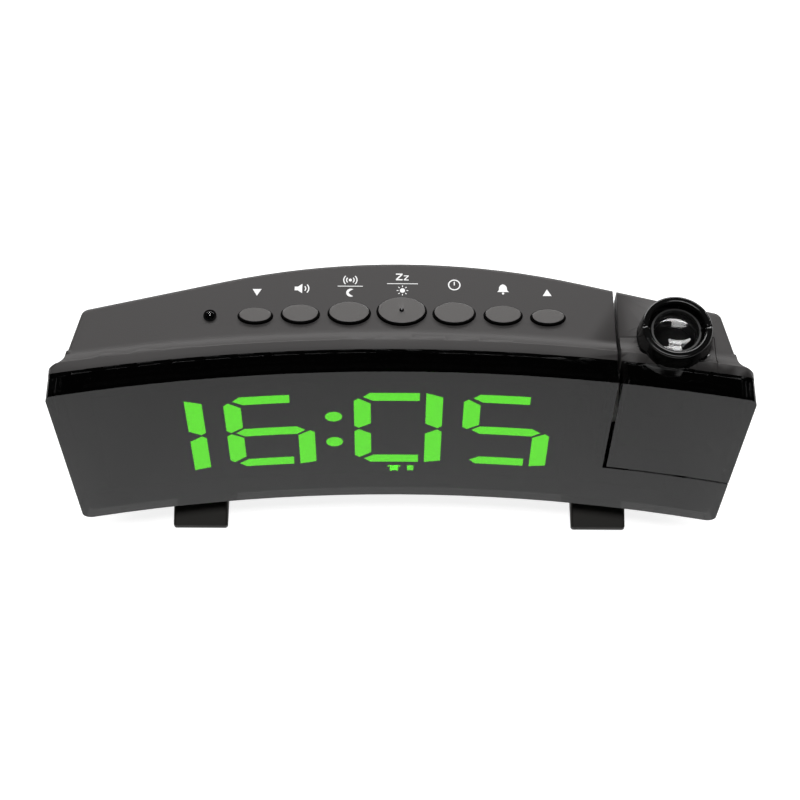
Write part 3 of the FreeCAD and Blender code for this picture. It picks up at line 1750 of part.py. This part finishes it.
def screw_steps(long):
    return [
        ("0", f"-({long})"),
        ("screw_radius - 0.3", f"-({long})"),
        ("screw_radius", f"-({long}) + 1"),
        ("screw_radius", "0"),
        ("screw_head", "0"),
        ("screw_head", "screw_head_tall * 0.6"),
        ("screw_head * 0.6", "screw_head_tall"),
        ("0", "screw_head_tall"),
    ]


def screws(name, long, spots, turn):
    """A set of alike screws with crossed drives, head ends at the given spots."""
    template = turned(name + "_form", screw_steps(long))
    slots = [
        box(
            f"{name}_drive_{index}",
            (f"-{wide}", wide),
            (f"-{deep}", deep),
            ("screw_head_tall - 0.8", "screw_head_tall + 1"),
        )
        for index, (wide, deep) in enumerate((("1.5", "0.3"), ("0.3", "1.5")))
    ]
    pattern = cut(name + "_pattern", template, *slots)
    doc.recompute()
    group = []
    for index, spot in enumerate(spots):
        twin = doc.addObject("Part::Feature", f"{name}_{index}")
        twin.Shape = pattern.Shape
        twin.Placement = FreeCAD.Placement(FreeCAD.Vector(*spot), turn)
        group.append(twin)
    bundle = doc.addObject("Part::Compound", name)
    bundle.Links = group
    return node(name, bundle)


heads_back = FreeCAD.Rotation(FreeCAD.Vector(1, 0, 0), -90)
heads_down = FreeCAD.Rotation(FreeCAD.Vector(1, 0, 0), 180)
heads_up = FreeCAD.Rotation()
head_y = number("well_floor_y + well_floor")
screws(
    "housing_screws",
    "screw_long",
    [(number(x), head_y, number("well_z")) for x in WELLS.values()],
    heads_back,
)
screws(
    "board_screws",
    "small_screw_long",
    [(number(x), number(y), number("board_z + board_thick")) for x, y in BOARD_CORNERS],
    heads_up,
)
deck_screw_z = number("button_board_z - board_thick")
screws(
    "deck_screws",
    "small_screw_long",
    [(sign * number("deck_boss_x"), number("deck_boss_y"), deck_screw_z) for sign in (-1, 1)],
    heads_down,
)

# Checks, then one file for each piece

doc.recompute()
broken = [item.Name for item in doc.Objects if {"Invalid", "Error"} & set(item.State)]
if broken:
    raise RuntimeError(f"failed objects: {broken}")
for name, piece in nodes.items():
    shape = piece.Shape
    if shape.isNull() or not shape.isValid() or not shape.Solids:
        raise RuntimeError(f"bad shape: {name}")

os.makedirs("parts", exist_ok=True)
for name, piece in nodes.items():
    piece.Shape.exportStep(f"parts/{name}.step")
    span = piece.Shape.BoundBox
    print(
        f"{name:18} solids {len(piece.Shape.Solids):3} volume {piece.Shape.Volume:10.1f}"
        f"  x {span.XMin:7.2f} {span.XMax:7.2f}  y {span.YMin:7.2f} {span.YMax:7.2f}"
        f"  z {span.ZMin:6.2f} {span.ZMax:6.2f}"
    )
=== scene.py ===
import json
import math

import bmesh
import bpy
from mathutils import Euler, Matrix, Vector

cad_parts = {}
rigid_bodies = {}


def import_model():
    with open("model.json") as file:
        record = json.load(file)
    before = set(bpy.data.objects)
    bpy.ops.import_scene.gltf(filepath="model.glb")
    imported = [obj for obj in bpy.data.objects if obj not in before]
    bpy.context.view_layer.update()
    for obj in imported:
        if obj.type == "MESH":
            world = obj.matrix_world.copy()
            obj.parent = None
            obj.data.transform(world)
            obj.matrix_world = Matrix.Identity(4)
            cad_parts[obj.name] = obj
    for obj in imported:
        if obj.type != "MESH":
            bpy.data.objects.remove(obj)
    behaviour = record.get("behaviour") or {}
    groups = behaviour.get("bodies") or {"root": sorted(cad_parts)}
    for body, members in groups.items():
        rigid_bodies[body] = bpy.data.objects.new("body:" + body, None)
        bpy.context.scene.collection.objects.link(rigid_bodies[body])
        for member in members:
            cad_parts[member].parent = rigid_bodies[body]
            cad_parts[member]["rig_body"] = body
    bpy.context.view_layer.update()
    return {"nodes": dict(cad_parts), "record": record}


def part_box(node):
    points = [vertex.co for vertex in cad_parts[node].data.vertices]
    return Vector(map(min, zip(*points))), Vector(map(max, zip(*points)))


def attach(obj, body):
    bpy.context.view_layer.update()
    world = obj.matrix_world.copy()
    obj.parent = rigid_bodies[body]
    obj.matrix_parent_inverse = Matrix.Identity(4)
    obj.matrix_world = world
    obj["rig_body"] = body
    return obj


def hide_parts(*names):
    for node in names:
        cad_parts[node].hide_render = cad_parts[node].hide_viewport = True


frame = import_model()
nodes = frame["nodes"]

# Units, and places on the clock
MM = 0.001
LEAN = math.radians(7.0)
DECK_Z = 72.8 * MM
FACE_Y = -17.5 * MM
FACE_RADIUS = 532.0 * MM
BARREL_AXIS = (74.6 * MM, 1.6 * MM)
RING_Z = 72.9 * MM
RING_FOOT_Z = 66.5 * MM
RING_RADIUS = 10.6 * MM
FACE_TURN = Euler((math.radians(90.0) - LEAN, 0.0, 0.0)).to_matrix().to_4x4()

# Camera of the photograph, in the frame's millimetres and degrees
PICTURE_WIDE = 800
FOCAL_PIXELS = 1691.8
SENSOR = 36.0
CAMERA_AT = Vector((-3.26, -227.51, 475.08)) * MM
CAMERA_TURN = math.radians(0.78)
CAMERA_DOWN = math.radians(62.5)
CAMERA_ROLL = math.radians(-1.02)

# How shapes are finished
MERGE_GAP = 0.002 * MM
SHARP_ANGLE = math.radians(28.0)
FACE_MATCH = math.cos(math.radians(4.0))
FLAT_TOP = 0.97
UPRIGHT = 0.3
GRAIN_DEPTH = 0.05 * MM
INK = 0.06 * MM

# Floor and light, in metres and watts: place, target, size, power
FLOOR_HALF = 3.0
FLOOR_GLOW = 0.85
WORLD_GLOW = 0.03
LIGHTS = {
    "back": ((0.0, 1.2, 0.85), (0.0, 0.0, 0.05), (1.6, 0.5), 30.0),
    "overhead": ((0.0, -0.1, 1.5), (0.0, 0.0, 0.0), (1.0, 0.5), 12.0),
}


# Materials


def plain_material(name):
    material = bpy.data.materials.new(name)
    material.use_nodes = True
    return material, material.node_tree.nodes["Principled BSDF"]


def moulded(name, colour, rough, grain=0.0, grain_size=0.35, gloss=0.5):
    """Moulded plastic or rubber, with an optional fine grain, its size in millimetres."""
    material, shader = plain_material(name)
    shader.inputs["Base Color"].default_value = (*colour, 1.0)
    shader.inputs["Roughness"].default_value = rough
    shader.inputs["Specular IOR Level"].default_value = gloss
    if grain:
        tree = material.node_tree
        place = tree.nodes.new("ShaderNodeTexCoord")
        noise = tree.nodes.new("ShaderNodeTexNoise")
        noise.inputs["Scale"].default_value = 1.0 / (grain_size * MM)
        noise.inputs["Detail"].default_value = 2.0
        bump = tree.nodes.new("ShaderNodeBump")
        bump.inputs["Strength"].default_value = grain
        bump.inputs["Distance"].default_value = GRAIN_DEPTH
        tree.links.new(place.outputs["Object"], noise.inputs["Vector"])
        tree.links.new(noise.outputs["Fac"], bump.inputs["Height"])
        tree.links.new(bump.outputs["Normal"], shader.inputs["Normal"])
    return material


def metal(name, colour, rough):
    material, shader = plain_material(name)
    shader.inputs["Base Color"].default_value = (*colour, 1.0)
    shader.inputs["Metallic"].default_value = 1.0
    shader.inputs["Roughness"].default_value = rough
    return material


def clear(name, colour, rough=0.0, ior=1.5):
    """Glass or clear plastic, tinted by its colour."""
    material, shader = plain_material(name)
    shader.inputs["Base Color"].default_value = (*colour, 1.0)
    shader.inputs["Transmission Weight"].default_value = 1.0
    shader.inputs["Roughness"].default_value = rough
    shader.inputs["IOR"].default_value = ior
    return material


def add_glow(material, colour, strength):
    shader = material.node_tree.nodes["Principled BSDF"]
    shader.inputs["Emission Color"].default_value = (*colour, 1.0)
    shader.inputs["Emission Strength"].default_value = strength
    return material


def glowing(name, colour, strength):
    return add_glow(moulded(name, colour, 0.5), colour, strength)


SMOKED = clear("smoked cover", (0.018, 0.018, 0.018), rough=0.02, ior=1.33)
SATIN = moulded("satin housing", (0.047, 0.0445, 0.044), 0.5, grain=0.45, gloss=0.18)
GLOSS_BLACK = moulded("gloss black", (0.003, 0.003, 0.003), 0.1, gloss=0.4)
BUTTON_TOP = moulded("button satin", (0.078, 0.074, 0.072), 0.5, grain=0.6, gloss=0.3)
FOOT = moulded("foot plastic", (0.012, 0.011, 0.009), 0.6, grain=0.2, gloss=0.25)
RUBBER = moulded("rubber", (0.012, 0.012, 0.012), 0.8)
INNER_BLACK = moulded("inner black", (0.01, 0.01, 0.01), 0.6)
MASK = moulded("display mask", (0.004, 0.004, 0.004), 0.7)
BOARD = moulded("circuit board", (0.01, 0.06, 0.02), 0.45)
CHIP = moulded("chip black", (0.01, 0.01, 0.01), 0.4)
SLEEVE = moulded("capacitor sleeve", (0.01, 0.012, 0.06), 0.3)
PAPER = moulded("cone paper", (0.015, 0.015, 0.015), 0.9)
FERRITE = moulded("ferrite", (0.03, 0.03, 0.03), 0.6)
NYLON = moulded("nylon", (0.6, 0.6, 0.56), 0.4)
STEEL = metal("steel", (0.55, 0.55, 0.55), 0.3)
BRASS = metal("spring brass", (0.75, 0.55, 0.25), 0.3)
LENS = clear("lens glass", (1.0, 1.0, 1.0))
SLIDE_GLASS = clear("slide glass", (0.2, 0.22, 0.2))
LAMP = clear("lamp", (0.9, 0.95, 0.9), rough=0.1)
LIT = glowing("lit green", (0.13, 1.0, 0.004), 42.0)
UNLIT = moulded("unlit stroke", (0.006, 0.007, 0.006), 0.5)
WHITE_INK = moulded("white ink", (0.8, 0.8, 0.8), 0.5)

LOOKS = {
    "front_cover": SMOKED,
    "projector_cover": SMOKED,
    "projector_panel": SATIN,
    "rear_housing": SATIN,
    "projector_housing": SATIN,
    "left_foot": FOOT,
    "right_foot": FOOT,
    "foot_pads": RUBBER,
    "display_block": MASK,
    "display_leds": LAMP,
    "display_board": BOARD,
    "main_board": BOARD,
    "button_board": BOARD,
    "lamp_board": BOARD,
    "board_chips": CHIP,
    "capacitors": SLEEVE,
    "power_inlet": CHIP,
    "aerial_bush": RUBBER,
    "speaker_frame": STEEL,
    "speaker_cone": PAPER,
    "speaker_magnet": FERRITE,
    "coin_cell": STEEL,
    "cell_holder": CHIP,
    "cell_contact": BRASS,
    "tact_switches": CHIP,
    "sensor_lens": LENS,
    "sensor_bezel": GLOSS_BLACK,
    "housing_screws": STEEL,
    "board_screws": STEEL,
    "deck_screws": STEEL,
    "projector_lead": RUBBER,
    "pivot_hub": INNER_BLACK,
    "friction_washer": NYLON,
    "spring_washer": STEEL,
    "retaining_ring": STEEL,
    "lead_grommet": RUBBER,
    "optics_tube": INNER_BLACK,
    "wheel_clip": STEEL,
    "slide_holder": INNER_BLACK,
    "lcd_slide": SLIDE_GLASS,
    "condenser_lens": LENS,
    "projector_lamp": LAMP,
    "focus_wheel": INNER_BLACK,
    "lens_cell": INNER_BLACK,
    "objective_lens": LENS,
    "field_lens": LENS,
    "battery_door": SATIN,
}
BUTTONS = [name for name in nodes if name.endswith("_button")]
LOOKS.update({name: BUTTON_TOP for name in BUTTONS})

# Nodes whose curved faces show, and are given smooth shading
SMOOTH = [
    "front_cover",
    "projector_cover",
    "projector_panel",
    "rear_housing",
    "projector_housing",
    "left_foot",
    "right_foot",
    "power_inlet",
    "sensor_lens",
    "sensor_bezel",
    "optics_tube",
    "lens_cell",
    "objective_lens",
    "field_lens",
    "focus_wheel",
    "battery_door",
] + BUTTONS

# Strokes lit in each digit
STROKES = {"top", "upper_left", "upper_right", "middle", "lower_left", "lower_right", "bottom"}
TIME_SHOWN = {
    "hour_tens_digit": {"upper_right", "lower_right"},
    "hour_units_digit": STROKES - {"upper_right"},
    "minute_tens_digit": STROKES - {"middle"},
    "minute_units_digit": STROKES - {"upper_right", "lower_left"},
}


# Mesh helpers


def body_of(node):
    return nodes[node]["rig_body"]


def slot_of(node):
    parts = frame["record"]["subparts"]
    return next(part["material_slot"] for part in parts if part["node"] == node)


def add_object(name, mesh, material):
    mesh.materials.clear()
    mesh.materials.append(material)
    piece = bpy.data.objects.new(name, mesh)
    bpy.context.scene.collection.objects.link(piece)
    return piece


def settle(piece):
    """Turns a piece with live modifiers, or a curve, into a plain mesh in the frame."""
    bpy.context.view_layer.update()
    seen = piece.evaluated_get(bpy.context.evaluated_depsgraph_get())
    mesh = bpy.data.meshes.new_from_object(seen)
    mesh.transform(piece.matrix_world)
    plain = bpy.data.objects.new(piece.name, mesh)
    bpy.data.objects.remove(piece)
    bpy.context.scene.collection.objects.link(plain)
    return plain


def merged_copy(node):
    mesh = nodes[node].data.copy()
    work = bmesh.new()
    work.from_mesh(mesh)
    bmesh.ops.remove_doubles(work, verts=work.verts, dist=MERGE_GAP)
    work.to_mesh(mesh)
    work.free()
    return mesh


def true_face_normals(mesh):
    """Gives the concave face the normals of the leaning cone that it was swept on."""
    axis = Vector((0.0, FACE_Y - FACE_RADIUS, 0.0))
    normals = [Vector(corner.vector) for corner in mesh.corner_normals]
    for face in mesh.polygons:
        for loop in face.loop_indices:
            spot = mesh.vertices[mesh.loops[loop].vertex_index].co
            out = spot - axis
            out.z = 0.0
            out.normalize()
            true = -out * math.cos(LEAN)
            true.z = math.sin(LEAN)
            side = 1.0 if face.normal.dot(true) > 0 else -1.0
            if face.normal.dot(true) * side > FACE_MATCH:
                normals[loop] = true * side
    mesh.normals_split_custom_set(normals)


def on_lens_ring(face):
    if (face.center.xy - Vector(BARREL_AXIS)).length > RING_RADIUS:
        return False
    upright = abs(face.normal.z) < UPRIGHT and face.center.z > RING_FOOT_Z
    return upright or face.center.z > RING_Z


def on_button_edge(face):
    return face.normal.z < FLAT_TOP


COVERS = ("front_cover", "projector_cover")
GLOSS_WHERE = {"projector_panel": on_lens_ring, "projector_housing": on_lens_ring}
GLOSS_WHERE.update({name: on_button_edge for name in BUTTONS})


def smooth_stand_in(node, material):
    """The node's own shape with smooth curved faces and crisp edges."""
    mesh = merged_copy(node)
    mesh.shade_smooth()
    mesh.set_sharp_from_angle(angle=SHARP_ANGLE)
    piece = add_object(node + "_finished", mesh, material)
    weighted = piece.modifiers.new("face weights", "WEIGHTED_NORMAL")
    weighted.keep_sharp = True
    piece = settle(piece)
    if node in COVERS:
        true_face_normals(piece.data)
    if node in GLOSS_WHERE:
        piece.data.materials.append(GLOSS_BLACK)
        for face in piece.data.polygons:
            face.material_index = int(GLOSS_WHERE[node](face))
    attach(piece, body_of(node))
    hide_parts(node)
    slot_of(node)
    return piece


for node, material in LOOKS.items():
    if node in SMOOTH:
        smooth_stand_in(node, material)
    else:
        nodes[node].data.materials.clear()
        nodes[node].data.materials.append(material)


# Digits


def islands(work):
    """Groups of faces that hang together."""
    left = set(work.faces)
    while left:
        group = {left.pop()}
        edge_of = list(group)
        while edge_of:
            face = edge_of.pop()
            for edge in face.edges:
                for other in edge.link_faces:
                    if other in left:
                        left.remove(other)
                        group.add(other)
                        edge_of.append(other)
        yield group


def stroke_name(across, up):
    """Which stroke a point is in, from its place in the digit's box."""
    if 0.3 < across < 0.7:
        return "top" if up > 0.75 else "bottom" if up < 0.25 else "middle"
    side = "left" if across < 0.5 else "right"
    return ("upper_" if up > 0.5 else "lower_") + side


def light_digit(node, lit_strokes):
    low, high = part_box(node)
    piece = add_object(node + "_strokes", merged_copy(node), UNLIT)
    piece.data.materials.append(LIT)
    work = bmesh.new()
    work.from_mesh(piece.data)
    for group in islands(work):
        middle = sum((face.calc_center_bounds() for face in group), Vector()) / len(group)
        across = (middle.x - low.x) / (high.x - low.x)
        up = (middle.z - low.z) / (high.z - low.z)
        lit = stroke_name(across, up) in lit_strokes
        for face in group:
            face.material_index = int(lit)
    work.to_mesh(piece.data)
    work.free()
    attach(piece, body_of(node))
    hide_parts(node)
    slot_of(node)


for digit, lit_strokes in TIME_SHOWN.items():
    light_digit(digit, lit_strokes)
nodes["colon_dots"].data.materials.clear()
nodes["colon_dots"].data.materials.append(LIT)


# Flat signs: outlines in millimetres about their own middle


def round_loop(x, y, radius, sides=32):
    turns = (2 * math.pi * index / sides for index in range(sides))
    return [(x + radius * math.cos(turn), y + radius * math.sin(turn)) for turn in turns]


def bar(x, y, wide, tall, turn=0.0):
    """A rectangle about a point, turned by an angle in degrees."""
    cosine = math.cos(math.radians(turn))
    sine = math.sin(math.radians(turn))
    corners = ((-1, -1), (1, -1), (1, 1), (-1, 1))
    spots = [(right * wide / 2, up * tall / 2) for right, up in corners]
    return [(x + a * cosine - b * sine, y + a * sine + b * cosine) for a, b in spots]


def bow(x, y, radius, thick, start, stop, steps=12):
    """Part of a ring, between two angles in degrees."""
    turns = [math.radians(start + (stop - start) * index / steps) for index in range(steps + 1)]
    outer = [(x + (radius + thick) * math.cos(a), y + (radius + thick) * math.sin(a)) for a in turns]
    inner = [(x + radius * math.cos(a), y + radius * math.sin(a)) for a in reversed(turns)]
    return outer + inner


def crescent(x, y, radius, steps=20):
    outer = [math.radians(60 + 240 * index / steps) for index in range(steps + 1)]
    loop = [(x + radius * math.cos(a), y + radius * math.sin(a)) for a in outer]
    top = Vector(loop[0])
    bottom = Vector(loop[-1])
    for index in range(1, steps):
        share = index / steps
        spot = bottom.lerp(top, share)
        loop.append((spot.x - radius * 0.95 * math.sin(math.pi * share), spot.y))
    return loop


def arrow(side):
    return [[(-1.25, -1.0 * side), (1.25, -1.0 * side), (0.0, 1.15 * side)]]


def sound_sign():
    horn = [(-2.0, -0.6), (-1.1, -0.6), (0.1, -1.5), (0.1, 1.5), (-1.1, 0.6), (-2.0, 0.6)]
    waves = [bow(0.0, 0.0, radius, 0.32, -42, 42) for radius in (0.9, 1.75)]
    return [horn] + waves


def radio_sign():
    waves = [
        bow(0.0, 2.0, radius, 0.3, start, start + 90)
        for radius in (0.9, 1.7)
        for start in (-45, 135)
    ]
    return waves + [round_loop(0.0, 2.0, 0.45), bar(0, 0, 7.0, 0.22), crescent(0.2, -2.1, 1.3)]


def zed(x, y, size):
    """A letter Z in one outline, about its own middle."""
    half = [(-1, 1), (1, 1), (1, 0.66), (-0.4, -0.66), (1, -0.66)]
    spots = half + [(-across, -up) for across, up in half]
    return [(x + across * size * 0.85, y + up * size) for across, up in spots]


def rest_sign():
    loops = [zed(-0.9, 2.2, 1.1), zed(1.05, 1.9, 0.8), bar(0, 0, 8.6, 0.22)]
    loops.append(round_loop(0.0, -2.2, 0.72))
    for index in range(8):
        turn = index * 45.0
        reach = 1.35
        x = reach * math.cos(math.radians(turn))
        y = -2.2 + reach * math.sin(math.radians(turn))
        loops.append(bar(x, y, 0.5, 0.24, turn))
    return loops


def dial_sign():
    rim = [round_loop(0, 0, 1.75), round_loop(0, 0, 1.4)]
    return rim + [bar(0, 0.45, 0.3, 1.2), bar(0.4, 0, 1.1, 0.3)]


def bell_sign():
    dome = [
        (-1.6, -1.0), (1.6, -1.0), (1.15, -0.4), (1.05, 0.6), (0.6, 1.25), (0.0, 1.5),
        (-0.6, 1.25), (-1.05, 0.6), (-1.15, -0.4),
    ]
    return [dome, round_loop(0.0, -1.45, 0.34, 16)]


def alarm_clock_sign():
    rim = [round_loop(0, -0.1, 1.25), round_loop(0, -0.1, 0.95)]
    hands = [bar(0, 0.2, 0.2, 0.7), bar(0.25, -0.1, 0.6, 0.2)]
    bells = [bow(x, 0.75, 0.55, 0.3, start, start + 120) for x, start in ((-1.0, 75), (1.0, -15))]
    feet = [bar(-0.95, -1.3, 0.28, 0.6, -35), bar(0.95, -1.3, 0.28, 0.6, 35)]
    return rim + hands + bells + feet


def flat_sign(name, loops, place, thick, material):
    """A thin raised sign, its back on the plane of its place."""
    curve = bpy.data.curves.new(name, "CURVE")
    curve.dimensions = "2D"
    curve.fill_mode = "BOTH"
    curve.extrude = thick / 2
    for loop in loops:
        spline = curve.splines.new("POLY")
        spline.points.add(len(loop) - 1)
        for point, (x, y) in zip(spline.points, loop):
            point.co = (x * MM, y * MM, 0.0, 1.0)
        spline.use_cyclic_u = True
    piece = bpy.data.objects.new(name, curve)
    bpy.context.scene.collection.objects.link(piece)
    piece.matrix_world = place @ Matrix.Translation((0.0, 0.0, thick / 2))
    piece = settle(piece)
    piece.data.materials.clear()
    piece.data.materials.append(material)
    return piece


DECK_SIGNS = {
    "down_sign": (-40.1, 15.3, arrow(-1)),
    "sound_sign": (-27.7, 16.55, sound_sign()),
    "radio_sign": (-14.3, 17.4, radio_sign()),
    "rest_sign": (0.2, 18.3, rest_sign()),
    "dial_sign": (14.6, 18.0, dial_sign()),
    "bell_sign": (28.1, 16.8, bell_sign()),
    "up_sign": (40.3, 15.6, arrow(1)),
}
for name, (x, y, loops) in DECK_SIGNS.items():
    place = Matrix.Translation((x * MM, y * MM, DECK_Z))
    sign = flat_sign(name, loops, place, INK, WHITE_INK)
    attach(sign, "clock_body")

marks_low, marks_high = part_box("status_marks")
MARK_THICK = 1.5 * MM
mark_middle = (marks_low + marks_high) / 2


def mark_place(x):
    """The plane of the status marks, behind the smoked cover."""
    back = FACE_TURN.to_3x3() @ Vector((0.0, 0.0, -MARK_THICK / 2))
    return Matrix.Translation(Vector((x, mark_middle.y, mark_middle.z)) + back) @ FACE_TURN


alarm_mark = flat_sign(
    "alarm_mark", alarm_clock_sign(), mark_place(marks_low.x + 2.7 * MM), MARK_THICK, LIT
)


def number_mark(text, tall, place):
    curve = bpy.data.curves.new("number_mark", "FONT")
    curve.body = text
    curve.size = tall / 0.7
    curve.align_x = "CENTER"
    curve.align_y = "CENTER"
    curve.offset = 0.08 * MM
    curve.extrude = MARK_THICK / 2
    piece = bpy.data.objects.new("number_mark", curve)
    bpy.context.scene.collection.objects.link(piece)
    piece.matrix_world = place @ Matrix.Translation((0.0, 0.0, MARK_THICK / 2))
    piece = settle(piece)
    piece.data.materials.clear()
    piece.data.materials.append(LIT)
    return piece


second_mark = number_mark("2", 2.7 * MM, mark_place(marks_high.x - 1.0 * MM))
for mark in (alarm_mark, second_mark):
    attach(mark, "clock_body")
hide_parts("status_marks")


# Rows of legs and small parts on the boards, made by one node tree


def row_tree():
    """A row of blocks along X: count, pitch and block size are inputs."""
    tree = bpy.data.node_groups.new("row of blocks", "GeometryNodeTree")
    sockets = tree.interface
    sockets.new_socket("Geometry", in_out="OUTPUT", socket_type="NodeSocketGeometry")
    sockets.new_socket("Count", in_out="INPUT", socket_type="NodeSocketInt")
    sockets.new_socket("Pitch", in_out="INPUT", socket_type="NodeSocketFloat")
    sockets.new_socket("Block", in_out="INPUT", socket_type="NodeSocketVector")
    sockets.new_socket("Start", in_out="INPUT", socket_type="NodeSocketVector")
    sockets.new_socket("Finish", in_out="INPUT", socket_type="NodeSocketMaterial")
    inlet = tree.nodes.new("NodeGroupInput")
    outlet = tree.nodes.new("NodeGroupOutput")
    line = tree.nodes.new("GeometryNodeMeshLine")
    step = tree.nodes.new("ShaderNodeCombineXYZ")
    block = tree.nodes.new("GeometryNodeMeshCube")
    spread = tree.nodes.new("GeometryNodeInstanceOnPoints")
    whole = tree.nodes.new("GeometryNodeRealizeInstances")
    paint = tree.nodes.new("GeometryNodeSetMaterial")
    wires = [
        (inlet.outputs["Count"], line.inputs["Count"]),
        (inlet.outputs["Pitch"], step.inputs["X"]),
        (step.outputs["Vector"], line.inputs["Offset"]),
        (inlet.outputs["Start"], line.inputs["Start Location"]),
        (inlet.outputs["Block"], block.inputs["Size"]),
        (line.outputs["Mesh"], spread.inputs["Points"]),
        (block.outputs["Mesh"], spread.inputs["Instance"]),
        (spread.outputs["Instances"], whole.inputs["Geometry"]),
        (whole.outputs["Geometry"], paint.inputs["Geometry"]),
        (inlet.outputs["Finish"], paint.inputs["Material"]),
        (paint.outputs["Geometry"], outlet.inputs["Geometry"]),
    ]
    for start, stop in wires:
        tree.links.new(start, stop)
    return tree


ROWS = row_tree()


def row(name, count, pitch, block, start, material):
    piece = bpy.data.objects.new(name, bpy.data.meshes.new(name))
    bpy.context.scene.collection.objects.link(piece)
    maker = piece.modifiers.new("row", "NODES")
    maker.node_group = ROWS
    values = {"Count": count, "Pitch": pitch, "Block": block, "Start": start, "Finish": material}
    for item in ROWS.interface.items_tree:
        if item.in_out == "INPUT":
            maker[item.identifier] = values[item.name]
    piece = settle(piece)
    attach(piece, "clock_body")
    return piece


board_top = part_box("main_board")[1].z
LEG = Vector((0.35, 1.2, 0.3)) * MM
LEG_PITCH = 0.9 * MM
CHIP_LEFT = -8.0 * MM
for name, y in (("front_chip_legs", -3.0), ("rear_chip_legs", 8.0)):
    start = Vector((CHIP_LEFT + 1.0 * MM, y * MM, board_top + LEG.z / 2))
    row(name, 12, LEG_PITCH, LEG, start, STEEL)
RESISTOR = Vector((1.2, 2.0, 0.55)) * MM
resistor_start = Vector((-24.0 * MM, -1.6 * MM, board_top + RESISTOR.z / 2))
row("resistors", 5, 2.8 * MM, RESISTOR, resistor_start, CHIP)


# Camera


def aim_camera():
    forward = Vector(
        (
            math.sin(CAMERA_TURN) * math.cos(CAMERA_DOWN),
            math.cos(CAMERA_TURN) * math.cos(CAMERA_DOWN),
            -math.sin(CAMERA_DOWN),
        )
    )
    level = Vector((math.cos(CAMERA_TURN), -math.sin(CAMERA_TURN), 0.0))
    below = forward.cross(level)
    right = level * math.cos(CAMERA_ROLL) + below * math.sin(CAMERA_ROLL)
    down = below * math.cos(CAMERA_ROLL) - level * math.sin(CAMERA_ROLL)
    data = bpy.data.cameras.new("camera")
    data.lens = FOCAL_PIXELS / PICTURE_WIDE * SENSOR
    data.sensor_width = SENSOR
    data.clip_start = 0.01
    camera = bpy.data.objects.new("camera", data)
    bpy.context.scene.collection.objects.link(camera)
    turn = Matrix((right, -down, -forward)).transposed().to_4x4()
    camera.matrix_world = Matrix.Translation(CAMERA_AT) @ turn
    bpy.context.scene.camera = camera


aim_camera()


# Floor and light


def lay_floor():
    half = FLOOR_HALF
    mesh = bpy.data.meshes.new("floor")
    corners = [(-half, -half, 0), (half, -half, 0), (half, half, 0), (-half, half, 0)]
    mesh.from_pydata(corners, [], [(0, 1, 2, 3)])
    pale = moulded("floor", (0.5, 0.5, 0.5), 0.9, gloss=0.1)
    floor = add_object("floor", mesh, add_glow(pale, (1.0, 1.0, 1.0), FLOOR_GLOW))


def soft_light(name, at, target, size, power):
    data = bpy.data.lights.new(name, "AREA")
    data.shape = "RECTANGLE"
    data.size = size[0]
    data.size_y = size[1]
    data.energy = power
    light = bpy.data.objects.new(name, data)
    light.location = at
    light.rotation_euler = (Vector(target) - Vector(at)).to_track_quat("-Z", "Y").to_euler()
    bpy.context.scene.collection.objects.link(light)


lay_floor()
for name, (at, target, size, power) in LIGHTS.items():
    soft_light(name, at, target, size, power)
world = bpy.data.worlds.new("studio")
world.use_nodes = True
world.node_tree.nodes["Background"].inputs["Color"].default_value = (1.0, 1.0, 1.0, 1.0)
world.node_tree.nodes["Background"].inputs["Strength"].default_value = WORLD_GLOW
bpy.context.scene.world = world
bpy.context.scene.view_settings.view_transform = "Standard"
